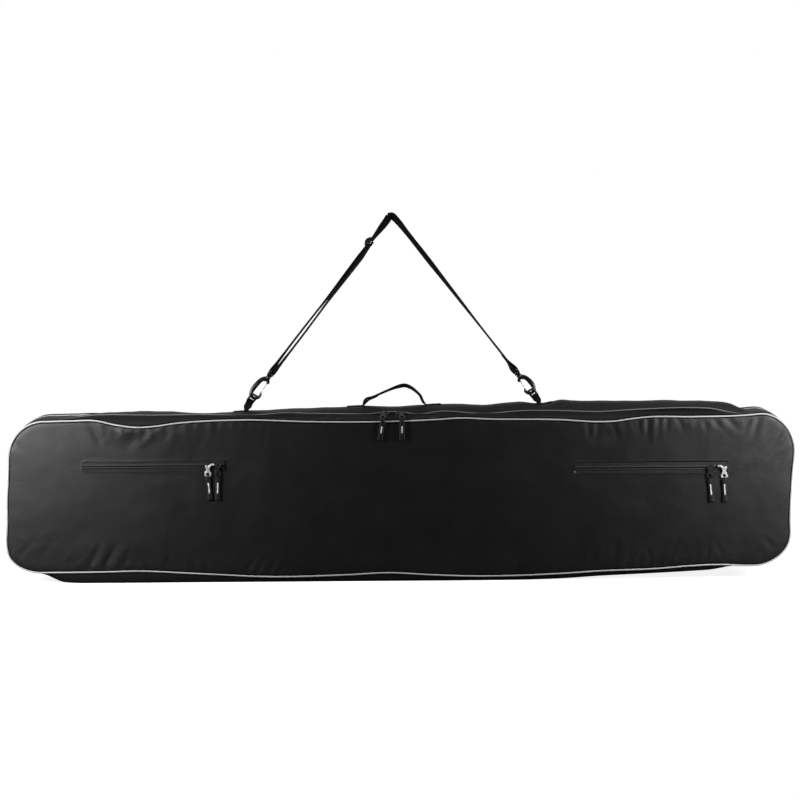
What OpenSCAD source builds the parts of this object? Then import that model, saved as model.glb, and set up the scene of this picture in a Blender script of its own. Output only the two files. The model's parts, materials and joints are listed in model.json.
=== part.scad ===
// Padded snowboard bag. Two padded panels are joined by a crowned gusset. A long zip round
// the top and ends lets the front panel fold down. Two zipped pockets, a carry handle and a
// clip-on shoulder strap complete it. Sizes are millimetres: X runs along the bag, the front
// panel faces -Y, and Z is up from the ground under the base.

/* [Bag] */
// Length over the piping
bag_len = 1650; // [1500:10:1900]
// Height of the padded panels over the piping
panel_h = 320; // [280:5:380]
// Depth over the front and back piping
bag_depth = 150; // [140:5:220]
// Corner radius over the piping
corner_r = 80; // [60:5:100]
// Rise of the top gusset above the piping
top_crown = 28; // [24:1:40]
// Half width of the flat crest along the top gusset
crest_half = 14; // [13:1:24]
// Drop of the base below the piping
base_drop = 20; // [12:1:30]
// Half width of the flat base
base_half = 50; // [40:1:60]
// Length over which crown and drop die out beside each corner
fade_len = 105; // [60:5:140]

/* [Layers] */
// Diameter of the piping
piping_d = 4; // [3:0.5:6]
// Depth of the cover's face behind the front of the piping
cover_inset = 1; // [0.5:0.1:2]
// Thickness of the outer cover
cover_t = 1.6; // [1:0.1:2.4]
// Thickness of the foam padding
padding_t = 6; // [5:0.5:10]
// Thickness of the lining
lining_t = 1; // [0.6:0.1:2]
// Thickness of the gusset
gusset_t = 2.4; // [1.6:0.1:4]
// Gap left between sewn pieces
seam_gap = 0.3; // [0.2:0.05:0.5]

/* [Main zip] */
// Width of the gusset strip between piping and zip
strip_w = 6; // [4:0.5:12]
// Width of one zip tape
tape_w = 14; // [10:0.5:16]
// Thickness of a zip tape
tape_t = 1.2; // [0.8:0.1:1.6]
// Depth of the tape below the gusset's face
tape_inset = 0.6; // [0.2:0.1:1]
// Width of one row of coil
coil_w = 4.5; // [3:0.25:5]
// Thickness of a row of coil
coil_t = 2; // [1.4:0.1:2.4]
// Open slot between the two rows
coil_slot = 2.4; // [2.2:0.1:3.2]
// Rise of the zip's rear edge above the piping
zip_rise = 19; // [15:0.5:22]
// Middle of the two parked sliders along the bag
main_park_x = -18; // [-200:1:200]
// Gap between the two parked sliders
main_pair_gap = 11; // [2:1:60]

/* [Zip sliders] */
// Length of a slider
slider_len = 20; // [19:0.5:24]
// Width of a slider
slider_w = 14; // [12:0.5:16]
// Thickness of a slider's plates
plate_t = 1.8; // [1.2:0.1:2.4]
// Running gap between slider and zip
run_gap = 0.4; // [0.3:0.05:0.6]
// Width of the slider's post
post_w = 1.4; // [1:0.1:1.6]
// Height of the bridge's bar above the top plate
bridge_h = 4.8; // [4.4:0.1:7]
// Diameter of the bridge's bar
bar_d = 2.2; // [1.8:0.1:2.6]
// Gap between the bar and the pull's eye
eye_gap = 0.3; // [0.2:0.05:0.5]
// Wall of the pull's eye
eye_wall = 1.2; // [0.8:0.1:1.4]
// Width of the pull's eye
eye_w = 3.4; // [3:0.2:5]
// Distance that a pull is pushed along its bar
pull_shift = 4.6; // [0:0.2:5]
// Length of a metal tab from bar to lower edge
tab_len = 21; // [19:0.5:26]
// Width of a metal tab
tab_w = 13; // [11:0.5:15]
// Thickness of a metal tab
tab_t = 1.6; // [1.2:0.1:2]
// Radius of the hole in a tab
tab_hole_r = 2.8; // [2.4:0.1:3.2]
// Radius of the cord through the tab
cord_r = 0.9; // [0.7:0.1:1.1]
// Length of the cord between tab hole and grip
cord_run = 6.5; // [5.5:0.5:12]
// Length of a moulded grip
grip_len = 48; // [36:1:60]
// Width of a moulded grip
grip_w = 10.5; // [8:0.5:12]
// Thickness of a moulded grip
grip_t = 4.4; // [3.6:0.2:5]
// Width of the plain stripe on a grip
stripe_w = 3; // [2:0.5:5]
// Length of the plain stripe on a grip
stripe_len = 23; // [12:1:30]
// Distance of a main grip in front of the bag
hang_gap = 6; // [5:0.5:9]

/* [Pockets] */
// Distance of the left pocket's window from the bag's end
left_pocket_in = 156; // [110:1:220]
// Length of the left pocket window
left_pocket_len = 302; // [240:2:340]
// Distance of the right pocket's window from the bag's end
right_pocket_in = 140; // [110:1:220]
// Length of the right pocket window
right_pocket_len = 324; // [240:2:340]
// Height of the left pocket's zip above the panel's middle
left_pocket_up = 67; // [30:1:90]
// Height of the right pocket's zip above the panel's middle
right_pocket_up = 56; // [30:1:90]
// Height of a pocket window
window_h = 25; // [20:0.5:30]
// Gap from the parked sliders to the window's end
park_gap = 3; // [2:0.5:12]
// Gap between a pocket's two sliders
pair_gap = 1; // [1:0.5:10]
// Width of the tape sewn behind the window's edge
sewn_w = 6; // [4:0.5:8]
// Depth of the pocket bags below the zip
pocket_drop = 150; // [100:5:180]
// Thickness of a flat pocket bag
pocket_t = 1.8; // [1:0.1:2.4]

/* [Webbing] */
// Width of the handle and strap webbing
web_w = 25; // [20:1:26]
// Thickness of the webbing
web_t = 1.6; // [1.2:0.1:2]
// Left root of the handle
handle_left = -78; // [-120:1:-40]
// Right root of the handle
handle_right = 49; // [30:1:120]
// Height of the handle above its roots
handle_rise = 30; // [20:1:60]
// Length of the handle's sewn ends
handle_sewn = 36; // [24:1:60]

/* [Shoulder strap] */
// Middle of the strap along the bag
strap_x = -15; // [-60:1:60]
// Half the distance between the strap's tabs
strap_half = 296; // [220:2:360]
// Height of the strap's peak above the tab roots
strap_rise = 387; // [300:1:480]
// Length of the sewn foot of a tab
tab_foot = 34; // [26:1:50]
// Height of the ring's lower bar above the tab's turning point
tab_rise = 7; // [6:0.5:12]
// Radius of the ring's wire
ring_r = 2; // [1.5:0.1:2.4]
// Distance between the ring's two bars
ring_len = 15; // [14:0.5:20]
// Play between the ring and the hook's throat
hook_play = 0.6; // [0.5:0.1:1]
// Radius of the hook's throat
throat_r = 6.2; // [5.6:0.1:7]
// Length of the hook's throat between its end circles
throat_len = 22; // [18:0.5:28]
// Thickness of the hook round its bow
bow_t = 4.6; // [4:0.1:5.6]
// Extra thickness of the hook's spine
spine_t = 2; // [0:0.2:3]
// Thickness of the hook across
hook_w = 8; // [6:0.5:10]
// Diameter of the gate's wires
gate_d = 1.6; // [1.2:0.1:2]
// Radius of the gate's pin
gate_pin_r = 0.9; // [0.7:0.1:1]
// Radius of the swivel's post
swivel_r = 2.5; // [2:0.1:3]
// Running gap of pins and posts
pin_gap = 0.3; // [0.2:0.05:0.4]
// Radius of the eye's bar
eye_bar_r = 2.2; // [1.8:0.1:2.8]
// Distance of the adjuster below the strap's peak
adjuster_drop = 74; // [50:1:160]

/* [Hidden] */
$fn = 48;

black = "#1c1c1e";
soft_black = "#262628";
grey = "#9a9c9e";
metal = "#b9bbbd";

// Panel outline, seen from the front
half_len = bag_len / 2;
half_d = bag_depth / 2;
pipe_r = piping_d / 2;
corner_x = half_len - corner_r;
corner_lo = base_drop + corner_r;
corner_hi = base_drop + panel_h - corner_r;
panel_mid = base_drop + panel_h / 2;
path_r = corner_r - pipe_r;
path_x = half_len - pipe_r;
path_lo = base_drop + pipe_r;
path_hi = base_drop + panel_h - pipe_r;
pipe_y = half_d - pipe_r;
edge_y = half_d - piping_d - seam_gap;
cover_y = half_d - cover_inset;
inner_y = cover_y - cover_t;

// Main zip up its slope, from the piping's middle to the rear edge of the rear tape
strip_s = pipe_y - edge_y + strip_w;
tape_s = strip_s + seam_gap;
slot_s = tape_s + tape_w;
rear_s = slot_s + coil_slot;
slope_len = rear_s + tape_w;
zip_tilt = asin(zip_rise / slope_len);
function on_slope(s) = s * cos(zip_tilt) - pipe_y;
strip_end = on_slope(strip_s);
tape_drop = tape_inset + tape_t;
coil_drop = tape_drop + seam_gap;
top_y = on_slope(slope_len + seam_gap) + tape_drop * sin(zip_tilt);
slot_mid_s = slot_s + coil_slot / 2;
slot_mid = on_slope(slot_mid_s) + tape_inset * sin(zip_tilt);
zip_z = path_hi + slot_mid_s * sin(zip_tilt) - tape_inset * cos(zip_tilt);

// Outward rise of the top gusset and drop of the base, across the depth
zip_end = on_slope(slope_len);
rise_table = [
  [-pipe_y, 0], [zip_end, zip_rise], [-crest_half, top_crown],
  [crest_half, top_crown], [-zip_end, zip_rise], [pipe_y, 0]
];
base_mid = (base_half + edge_y) / 2;
shoulder = 0.62;
drop_table = [
  [-edge_y, 0], [-base_mid, base_drop * shoulder + pipe_r], [-base_half, path_lo],
  [base_half, path_lo], [base_mid, base_drop * shoulder + pipe_r], [edge_y, 0]
];
crest_z = path_hi + top_crown;

// Slider heights above the tape's face
top_plate_z = run_gap;
bar_z = top_plate_z + plate_t + bridge_h;
low_plate_z = -(tape_t + seam_gap + coil_t + run_gap);
hole_rim = 1.2;
hole_s = tab_len - tab_hole_r - hole_rim;
cord_off = tab_t / 2 + eye_gap + cord_r;

// Bend of the main pulls over the piping
bar_y = slot_mid - bar_z * sin(zip_tilt);
bend_s = (bar_y + half_d + hang_gap) / cos(zip_tilt);

// Webbing feet and turning points on the crest
foot_z = crest_z + seam_gap;
turn_z = foot_z + web_t + seam_gap + web_w / 2;

// Strap leg: u runs from the ring's lower bar to the peak
ring_z = turn_z + tab_rise;
leg_rise = strap_rise - tab_rise;
lean = atan(strap_half / leg_rise);
leg_len = sqrt(pow(strap_half, 2) + pow(leg_rise, 2));
wire_u = ring_len;
throat_u = wire_u - ring_r - hook_play + throat_r;
throat_top = throat_u + throat_len;
top_r = 3;
stem_u = throat_top + top_r + bow_t;
stem_len = 5;
shoulder_u = stem_u + stem_len;
collar_t = 4;
head_u = shoulder_u + pin_gap + collar_t + pin_gap;
head_t = 2;
web_loop_r = eye_bar_r + seam_gap;
eye_u = head_u + head_t + pin_gap + web_loop_r + web_t;
layer_x = web_loop_r + web_t / 2;
adjuster_u = leg_len - adjuster_drop;

corner_steps = 12;
fade_steps = 10;

// Sewn bands swept round the bag: a station is [x, z, normal x, normal z, fade]
function ease(t) = t * t * (3 - 2 * t);
function arc_run(cx, cz, from, to) = [
  for (i = [0:corner_steps])
    let (a = from + (to - from) * i / corner_steps)
    [cx + path_r * cos(a), cz + path_r * sin(a), cos(a), sin(a), 0]
];
function fade_x(i) = corner_x - fade_len * i / fade_steps;
function straight_run(z, up) = concat(
  [for (i = [0:fade_steps]) [-up * fade_x(i), z, 0, up, ease(i / fade_steps)]],
  [for (i = [fade_steps:-1:0]) [up * fade_x(i), z, 0, up, ease(i / fade_steps)]]
);
function tail(list) = [for (i = [1:len(list) - 1]) list[i]];
left_end_run = concat([[-path_x, corner_lo, -1, 0, 0]], arc_run(-corner_x, corner_hi, 180, 90));
right_end_run = concat(arc_run(corner_x, corner_hi, 90, 0), [[path_x, corner_lo, 1, 0, 0]]);
top_run = straight_run(path_hi, 1);
zip_run = concat(left_end_run, tail(top_run), tail(right_end_run));
// A tape is cut in three lengths that meet where the corners start
top_tape_run = [
  for (i = [0:len(top_run) - 1])
    let (s = top_run[i], cut = i == 0 ? seam_gap : i == len(top_run) - 1 ? -seam_gap : 0)
    [s[0] + cut, s[1], s[2], s[3], s[4]]
];
tape_runs = [left_end_run, top_tape_run, right_end_run];

function band(ys, off, t) = concat(
  [for (y = ys) [y, off]],
  [for (i = [len(ys) - 1:-1:0]) [ys[i], off - t]]
);
// A tape or coil's outline between two places on the zip's slope, square to it
function zip_band(s0, s1, drop, t) = [
  for (p = [[s0, drop], [s1, drop], [s1, drop + t], [s0, drop + t]])
    [on_slope(p[0]) + p[1] * sin(zip_tilt), -p[1] / cos(zip_tilt)]
];
function ring_at(s, outline, table) = [
  for (p = outline)
    let (out = s[4] * lookup(p[0], table) + p[1])
    [s[0] + s[2] * out, p[0], s[1] + s[3] * out]
];

module sweep(run, outline, table) {
  n = len(outline);
  m = len(run);
  points = [for (s = run) each ring_at(s, outline, table)];
  sides = [
    for (i = [0:m - 2], j = [0:n - 1])
      let (a = i * n + j, b = i * n + (j + 1) % n)
      each [[a, b, b + n], [a, b + n, a + n]]
  ];
  far = (m - 1) * n;
  caps = [
    for (j = [0:n / 2 - 2])
      let (a = j, b = j + 1, c = n - 2 - j, d = n - 1 - j)
      each [[c, b, a], [d, c, a], [far + a, far + b, far + c], [far + a, far + c, far + d]]
  ];
  polyhedron(points, concat(sides, caps), convexity = 6);
}

// Flat shapes seen from the front
module round_rect(w, h, r) {
  square([w - 2 * r, h], center = true);
  square([w, h - 2 * r], center = true);
  for (x = [-1, 1], z = [-1, 1]) translate([x * (w / 2 - r), z * (h / 2 - r)]) circle(r);
}

module panel_shape(inset) {
  translate([0, panel_mid])
    round_rect(bag_len - 2 * inset, panel_h - 2 * inset, corner_r - inset);
}

// Stands a flat shape up between two depths
module stand(y0, y1) {
  translate([0, y1, 0]) rotate([90, 0, 0]) linear_extrude(y1 - y0) children();
}

cover_gap = piping_d + seam_gap;
fill_gap = pipe_r + gusset_t + seam_gap;

function bend_start(x, top) = top ? (x > 0 ? 0 : 90) : (x > 0 ? 270 : 180);

module piping_loop(y) {
  for (x = [-1, 1]) {
    translate([x * path_x, y, corner_lo]) cylinder(r = pipe_r, h = corner_hi - corner_lo);
    for (top = [true, false])
      translate([x * corner_x, y, top ? corner_hi : corner_lo]) rotate([90, 0, 0])
        rotate_extrude(angle = 90, start = bend_start(x, top))
          translate([path_r, 0]) circle(pipe_r, $fn = 24);
  }
  for (z = [path_lo, path_hi])
    translate([-corner_x, y, z]) rotate([0, 90, 0]) cylinder(r = pipe_r, h = 2 * corner_x);
}

// Back shell
module back_panel() {
  color(black) stand(inner_y, cover_y) panel_shape(cover_gap);
}

module back_padding() {
  color("dimgray") stand(inner_y - padding_t, inner_y) panel_shape(fill_gap);
}

module back_lining() {
  color(soft_black) stand(inner_y - padding_t - lining_t, inner_y - padding_t) panel_shape(fill_gap);
}

module back_piping() {
  color(grey) piping_loop(pipe_y);
}

base_ys = [-edge_y, -base_mid, -base_half, base_half, base_mid, edge_y];
corner_band = band([-edge_y, edge_y], 0, gusset_t);

module base_gusset() {
  color(black) sweep(straight_run(path_lo, -1), band(base_ys, 0, gusset_t), drop_table);
}

module left_base_corner() {
  color(black) sweep(arc_run(-corner_x, corner_lo, 270, 180), corner_band, drop_table);
}

module right_base_corner() {
  color(black) sweep(arc_run(corner_x, corner_lo, 360, 270), corner_band, drop_table);
}

module top_gusset() {
  ys = [top_y, -crest_half, crest_half, -zip_end, edge_y];
  color(black) sweep(top_run, band(ys, 0, gusset_t), rise_table);
}

module left_end_gusset() {
  color(black) sweep(left_end_run, band([top_y, edge_y], 0, gusset_t), rise_table);
}

module right_end_gusset() {
  color(black) sweep(right_end_run, band([top_y, edge_y], 0, gusset_t), rise_table);
}

module rear_zip_tape() {
  color(soft_black)
    for (run = tape_runs) sweep(run, zip_band(rear_s, slope_len, tape_inset, tape_t), rise_table);
}

module rear_zip_coil() {
  color(black) sweep(zip_run, zip_band(rear_s, rear_s + coil_w, coil_drop, coil_t), rise_table);
}

// Flat webbing foot sewn on the crest, from x0 to x1
module web_foot(x0, x1) {
  translate([x0, -web_w / 2, foot_z]) cube([x1 - x0, web_w, web_t]);
}

module handle_sewn_ends() {
  color(soft_black) {
    web_foot(handle_left - handle_sewn, handle_left);
    web_foot(handle_right, handle_right + handle_sewn);
  }
}

module strap_tab_feet() {
  color(soft_black)
    for (side = [-1, 1])
      web_foot(strap_x + side * strap_half - tab_foot / 2, strap_x + side * strap_half + tab_foot / 2);
}

// Front panel with its two pocket windows: a pocket is [middle x, zip height, length]
left_pocket = [
  left_pocket_in + left_pocket_len / 2 - bag_len / 2, panel_mid + left_pocket_up, left_pocket_len
];
right_pocket = [
  bag_len / 2 - right_pocket_in - right_pocket_len / 2, panel_mid + right_pocket_up, right_pocket_len
];
pockets = [left_pocket, right_pocket];
tape_reach = window_h / 2 + sewn_w;

// Box beside a pocket's zip, from one height to another above it, longer by a side at each end
module pocket_box(pocket, side, low, high) {
  translate([pocket[0] - pocket[2] / 2 - side, pocket[1] + low]) square([pocket[2] + 2 * side, high - low]);
}

module front_panel() {
  color(black) stand(-cover_y, -inner_y) difference() {
    panel_shape(cover_gap);
    for (pocket = pockets) pocket_box(pocket, 0, -window_h / 2, window_h / 2);
  }
}

pocket_side = 8;
recess_gap = 0.3;

module padding_recess(pocket) {
  side = pocket_side + recess_gap;
  reach = tape_reach + recess_gap;
  stand(-inner_y - 1, padding_t + 1 - inner_y) pocket_box(pocket, side, -reach, reach);
  stand(-inner_y - 1, pocket_t + recess_gap - inner_y)
    pocket_box(pocket, side, -pocket_drop - recess_gap, 0);
}

module front_padding() {
  color("dimgray") difference() {
    stand(-inner_y, padding_t - inner_y) panel_shape(fill_gap);
    for (pocket = pockets) padding_recess(pocket);
  }
}

module front_lining() {
  color(soft_black) stand(padding_t - inner_y, padding_t + lining_t - inner_y) panel_shape(fill_gap);
}

module front_piping() {
  color(grey) piping_loop(-pipe_y);
}

module front_gusset() {
  color(black) sweep(zip_run, band([-edge_y, strip_end], 0, gusset_t), rise_table);
}

module front_zip_tape() {
  color(soft_black)
    for (run = tape_runs) sweep(run, zip_band(tape_s, slot_s, tape_inset, tape_t), rise_table);
}

module front_zip_coil() {
  color(black) sweep(zip_run, zip_band(slot_s - coil_w, slot_s, coil_drop, coil_t), rise_table);
}

// Two straight bars above and below a pocket's slot
module pocket_rows(pocket, side, from, to) {
  pocket_box(pocket, side, from, to);
  pocket_box(pocket, side, -to, -from);
}

module pocket_tapes(pocket) {
  stand(-inner_y, tape_t - inner_y) pocket_rows(pocket, pocket_side, coil_slot / 2, tape_reach);
}

module pocket_coils(pocket) {
  face = tape_t + seam_gap - inner_y;
  stand(face, face + coil_t) pocket_rows(pocket, 0, coil_slot / 2, coil_slot / 2 + coil_w);
}

module pocket_bag(pocket) {
  stand(-inner_y, pocket_t - inner_y)
    pocket_box(pocket, pocket_side, -pocket_drop, -tape_reach - seam_gap);
}

module left_pocket_tapes() {
  color(soft_black) pocket_tapes(left_pocket);
}

module right_pocket_tapes() {
  color(soft_black) pocket_tapes(right_pocket);
}

module left_pocket_coils() {
  color(black) pocket_coils(left_pocket);
}

module right_pocket_coils() {
  color(black) pocket_coils(right_pocket);
}

module left_pocket_bag() {
  color(soft_black) pocket_bag(left_pocket);
}

module right_pocket_bag() {
  color(soft_black) pocket_bag(right_pocket);
}

// Sliders, tabs and grips stand on a zip: x along it, y across it, z out of it
module on_main_zip(side) {
  x = main_park_x + side * (slider_len + main_pair_gap) / 2;
  translate([x, slot_mid, zip_z]) rotate([zip_tilt, 0, 0]) children();
}

module on_pocket_zip(pocket, second) {
  last = pocket[0] + pocket[2] / 2 - park_gap - slider_len / 2;
  translate([second ? last : last - slider_len - pair_gap, -inner_y, pocket[1]])
    rotate([90, 0, 0]) children();
}

post_extra = 0.2;
bridge_post_r = bar_d / 2 + post_extra;
post_x = slider_len / 2 - bridge_post_r;

module slider(closed) {
  plate_r = 4;
  inner_side = closed ? slider_w / 2 : post_w / 2;
  lip = 1.2;
  translate([0, 0, top_plate_z]) linear_extrude(plate_t) round_rect(slider_len, slider_w, plate_r);
  translate([0, 0, low_plate_z - plate_t]) linear_extrude(plate_t) intersection() {
    round_rect(slider_len, slider_w, plate_r);
    translate([-slider_len / 2, -slider_w / 2]) square([slider_len, slider_w / 2 + inner_side]);
  }
  translate([-slider_len / 4, -post_w / 2, low_plate_z])
    cube([slider_len / 4, post_w, top_plate_z - low_plate_z]);
  for (edge = closed ? [-1, 1] : [-1])
    translate([plate_r - slider_len / 2, edge * (slider_w - lip) / 2 - lip / 2, low_plate_z])
      cube([slider_len - 2 * plate_r, lip, coil_t + run_gap / 2]);
  for (end = [-1, 1]) translate([end * post_x, 0, 0]) {
    translate([0, 0, top_plate_z]) cylinder(r = bridge_post_r, h = bar_z - top_plate_z);
    translate([0, 0, bar_z]) sphere(bridge_post_r);
  }
  translate([-post_x, 0, bar_z]) rotate([0, 90, 0]) cylinder(d = bar_d, h = 2 * post_x);
}

// Waisted metal tab with a notched head, hung on the bridge's bar and reaching towards -y
waist_share = 0.27;
waist_place = 0.52;
arm_share = 0.42;
arm_start = 1;
notch_d = 3;
tab_cut = 1.5;

module tab(shift) {
  eye_r = bar_d / 2 + eye_gap;
  neck = eye_r + eye_wall;
  waist = tab_w * waist_share;
  waist_s = tab_len * waist_place;
  arm = tab_w * arm_share;
  arm_s = neck + arm_start;
  notch_s = neck + notch_d;
  half = tab_w / 2;
  cut_s = tab_len - tab_cut;
  translate([shift, 0, bar_z]) difference() {
    union() {
      rotate([0, 90, 0]) cylinder(r = neck, h = eye_w, center = true);
      translate([0, 0, -tab_t / 2]) linear_extrude(tab_t) difference() {
        polygon([
          [-eye_w / 2, 0], [-eye_w / 2, -notch_s], [-arm, -arm_s], [-arm, -notch_s],
          [-waist, -waist_s], [-half, -hole_s], [-half, -cut_s], [tab_cut - half, -tab_len],
          [half - tab_cut, -tab_len], [half, -cut_s], [half, -hole_s], [waist, -waist_s],
          [arm, -notch_s], [arm, -arm_s], [eye_w / 2, -notch_s], [eye_w / 2, 0]
        ]);
        translate([0, -hole_s]) circle(tab_hole_r);
      }
    }
    rotate([0, 90, 0]) cylinder(r = eye_r, h = eye_w + 2, center = true);
  }
}

// Moulded bar from y = 0 down to y = -length, with a raised plain stripe and two grooves
groove = 0.5;
groove_pitch = 2;
stripe_top = 0.22;
grip_round = 0.3;

module grip_bar(length) {
  difference() {
    linear_extrude(grip_t, center = true)
      translate([0, -length / 2]) round_rect(grip_w, length, grip_w * grip_round);
    for (step = [2, 3]) translate([-grip_w, groove_pitch * step - length, grip_t / 2 - groove])
      cube([2 * grip_w, 2 * groove, grip_t]);
  }
  translate([-stripe_w / 2, -length * stripe_top - stripe_len, grip_t / 2])
    cube([stripe_w, stripe_len, groove]);
}

// Cord loop from the tab's hole to the head of the grip
cord_grip = 2;

module cord_loop() {
  cylinder(r = cord_r, h = 2 * cord_off, center = true);
  for (face = [-1, 1]) translate([0, 0, face * cord_off]) {
    sphere(cord_r);
    rotate([90, 0, 0]) cylinder(r = cord_r, h = cord_run + cord_grip);
  }
}

module grip(shift, swing) {
  translate([shift, -hole_s, bar_z]) rotate([0, 0, swing]) {
    cord_loop();
    translate([0, -cord_run, 0]) grip_bar(grip_len);
  }
}

// A main grip lies over the piping and hangs in front of the panel
module bent_grip(shift, swing) {
  head_s = hole_s + cord_run;
  over = bend_s - head_s;
  translate([shift, -hole_s, bar_z]) cord_loop();
  translate([shift - grip_w / 2, -bend_s, bar_z - grip_t / 2]) cube([grip_w, over, grip_t]);
  translate([shift, -bend_s, bar_z]) {
    rotate([0, 90, 0]) cylinder(d = grip_t, h = grip_w, center = true);
    rotate([90 - zip_tilt, 0, 0]) rotate([0, 0, swing]) {
      grip_bar(grip_len - over);
      translate([-grip_w / 2, -grip_w / 2, -grip_t / 2]) cube([grip_w, grip_w / 2, grip_t]);
    }
  }
}

module main_slider_left() {
  color(soft_black) on_main_zip(-1) slider(false);
}

module main_slider_right() {
  color(soft_black) on_main_zip(1) slider(false);
}

module left_pocket_slider_a() {
  color(metal) on_pocket_zip(left_pocket, false) slider(true);
}

module left_pocket_slider_b() {
  color(soft_black) on_pocket_zip(left_pocket, true) slider(true);
}

module right_pocket_slider_a() {
  color(soft_black) on_pocket_zip(right_pocket, false) slider(true);
}

module right_pocket_slider_b() {
  color(metal) on_pocket_zip(right_pocket, true) slider(true);
}

module main_tab_left() {
  color(soft_black) on_main_zip(-1) tab(-pull_shift);
}

module main_tab_right() {
  color(soft_black) on_main_zip(1) tab(pull_shift);
}

module left_pocket_tab_a() {
  color(metal) on_pocket_zip(left_pocket, false) tab(-pull_shift);
}

module left_pocket_tab_b() {
  color(soft_black) on_pocket_zip(left_pocket, true) tab(-pull_shift);
}

module right_pocket_tab_a() {
  color(soft_black) on_pocket_zip(right_pocket, false) tab(-pull_shift);
}

module right_pocket_tab_b() {
  color(metal) on_pocket_zip(right_pocket, true) tab(pull_shift);
}

// Sideways lean of the hanging grips
main_lean = 5;
left_lean = 3;
right_lean = 2;

module main_grip_left() {
  color(black) on_main_zip(-1) bent_grip(-pull_shift, -main_lean);
}

module main_grip_right() {
  color(black) on_main_zip(1) bent_grip(pull_shift, 0);
}

module left_pocket_grip_a() {
  color(black) on_pocket_zip(left_pocket, false) grip(-pull_shift, left_lean);
}

module left_pocket_grip_b() {
  color(black) on_pocket_zip(left_pocket, true) grip(-pull_shift, -left_lean);
}

module right_pocket_grip_a() {
  color(black) on_pocket_zip(right_pocket, false) grip(-pull_shift, right_lean);
}

module right_pocket_grip_b() {
  color(black) on_pocket_zip(right_pocket, true) grip(pull_shift, -right_lean);
}

// Carry handle: arch points as shares of span and rise, with the web's thickness there
span = handle_right - handle_left;
arch = [
  [0, 0, web_t], [0.05, 0.4, 1.6 * web_t], [0.28, 0.68, 1.4 * web_t], [0.5, 0.92, 2.2 * web_t],
  [0.68, 1, 3 * web_t], [0.82, 0.82, 2.4 * web_t], [0.95, 0.4, 1.8 * web_t], [1, 0, web_t]
];
arch_steps = 4;
function blend(a, b, c, d, t) =
  b + t * ((c - a) + t * ((2 * a - 5 * b + 4 * c - d) + t * (3 * b - a - 3 * c + d))) / 2;
function arch_at(i, t) =
  let (last = len(arch) - 1)
  blend(arch[max(i - 1, 0)], arch[i], arch[i + 1], arch[min(i + 2, last)], t);
arch_line = concat(
  [for (i = [0:len(arch) - 2], k = [0:arch_steps - 1]) arch_at(i, k / arch_steps)],
  [arch[len(arch) - 1]]
);
function arch_point(i) = [handle_left + arch_line[i][0] * span, turn_z + arch_line[i][1] * handle_rise];
function arch_side(i, side) =
  let (
    ahead = arch_point(min(i + 1, len(arch_line) - 1)) - arch_point(max(i - 1, 0)),
    normal = [-ahead[1], ahead[0]] / norm(ahead)
  )
  arch_point(i) + side * normal * arch_line[i][2] / 2;

// Lower half of a disc of webbing, round the axis on which a handle or tab swings
module swing_foot(thick) {
  rotate([0, 90, 0]) linear_extrude(thick, center = true) intersection() {
    circle(d = web_w);
    translate([0, -web_w / 2]) square(web_w);
  }
}

module carry_handle() {
  count = len(arch_line);
  color(black) {
    stand(-web_w / 2, web_w / 2) polygon(concat(
      [for (i = [0:count - 1]) arch_side(i, 1)],
      [for (i = [count - 1:-1:0]) arch_side(i, -1)]
    ));
    for (x = [handle_left, handle_right]) translate([x, 0, turn_z]) swing_foot(web_t);
  }
}

// Strap pieces stand on the ring's lower bar: z runs up the leg, +x is the inner side
module on_leg(side) {
  translate([strap_x + side * strap_half, 0, ring_z])
    mirror([side > 0 ? 1 : 0, 0, 0]) rotate([0, lean, 0]) children();
}

module strap_tab(side) {
  fold_r = ring_r + seam_gap + web_t;
  pad = 2 * web_t;
  translate([strap_x + side * strap_half, 0, turn_z]) {
    swing_foot(pad);
    difference() {
      union() {
        translate([-pad / 2, -web_w / 2, 0]) cube([pad, web_w, tab_rise]);
        translate([0, 0, tab_rise]) rotate([90, 0, 0]) cylinder(r = fold_r, h = web_w, center = true);
      }
      translate([0, 0, tab_rise]) rotate([90, 0, 0])
        cylinder(r = ring_r + seam_gap, h = web_w + 2, center = true);
    }
  }
}

module bar_ring(side) {
  half = web_w / 2 + ring_r + seam_gap;
  on_leg(side) {
    for (z = [0, ring_len]) translate([0, 0, z]) rotate([90, 0, 0])
      cylinder(r = ring_r, h = 2 * half, center = true);
    for (y = [-half, half]) translate([0, y, 0]) {
      cylinder(r = ring_r, h = ring_len);
      for (z = [0, ring_len]) translate([0, 0, z]) sphere(ring_r);
    }
  }
}

// Tapered loop between a large lower circle and a small upper one
module teardrop(lower_r, upper_r, height, shift) {
  turn = atan2(lower_r - upper_r, height);
  translate([shift, 0]) circle(lower_r);
  translate([0, height]) circle(upper_r);
  polygon([
    [shift - lower_r * cos(turn), lower_r * sin(turn)],
    [-upper_r * cos(turn), height + upper_r * sin(turn)],
    [upper_r * cos(turn), height + upper_r * sin(turn)],
    [shift + lower_r * cos(turn), lower_r * sin(turn)]
  ]);
}

cheek_t = 1.4;
cheek_rim = 0.5;
gate_wall = 1;
gate_inset = 3;
gate_slant = 6;
gate_low = throat_u + 5;
gate_high = throat_top - 2;
gate_pin_x = throat_r + bow_t / 2 - gate_inset;
gate_pin_u = gate_high + 0.6;
gate_eye_r = gate_pin_r + pin_gap + gate_wall;
head_rim = 1.6;
collar_wall = 2.6;

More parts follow.
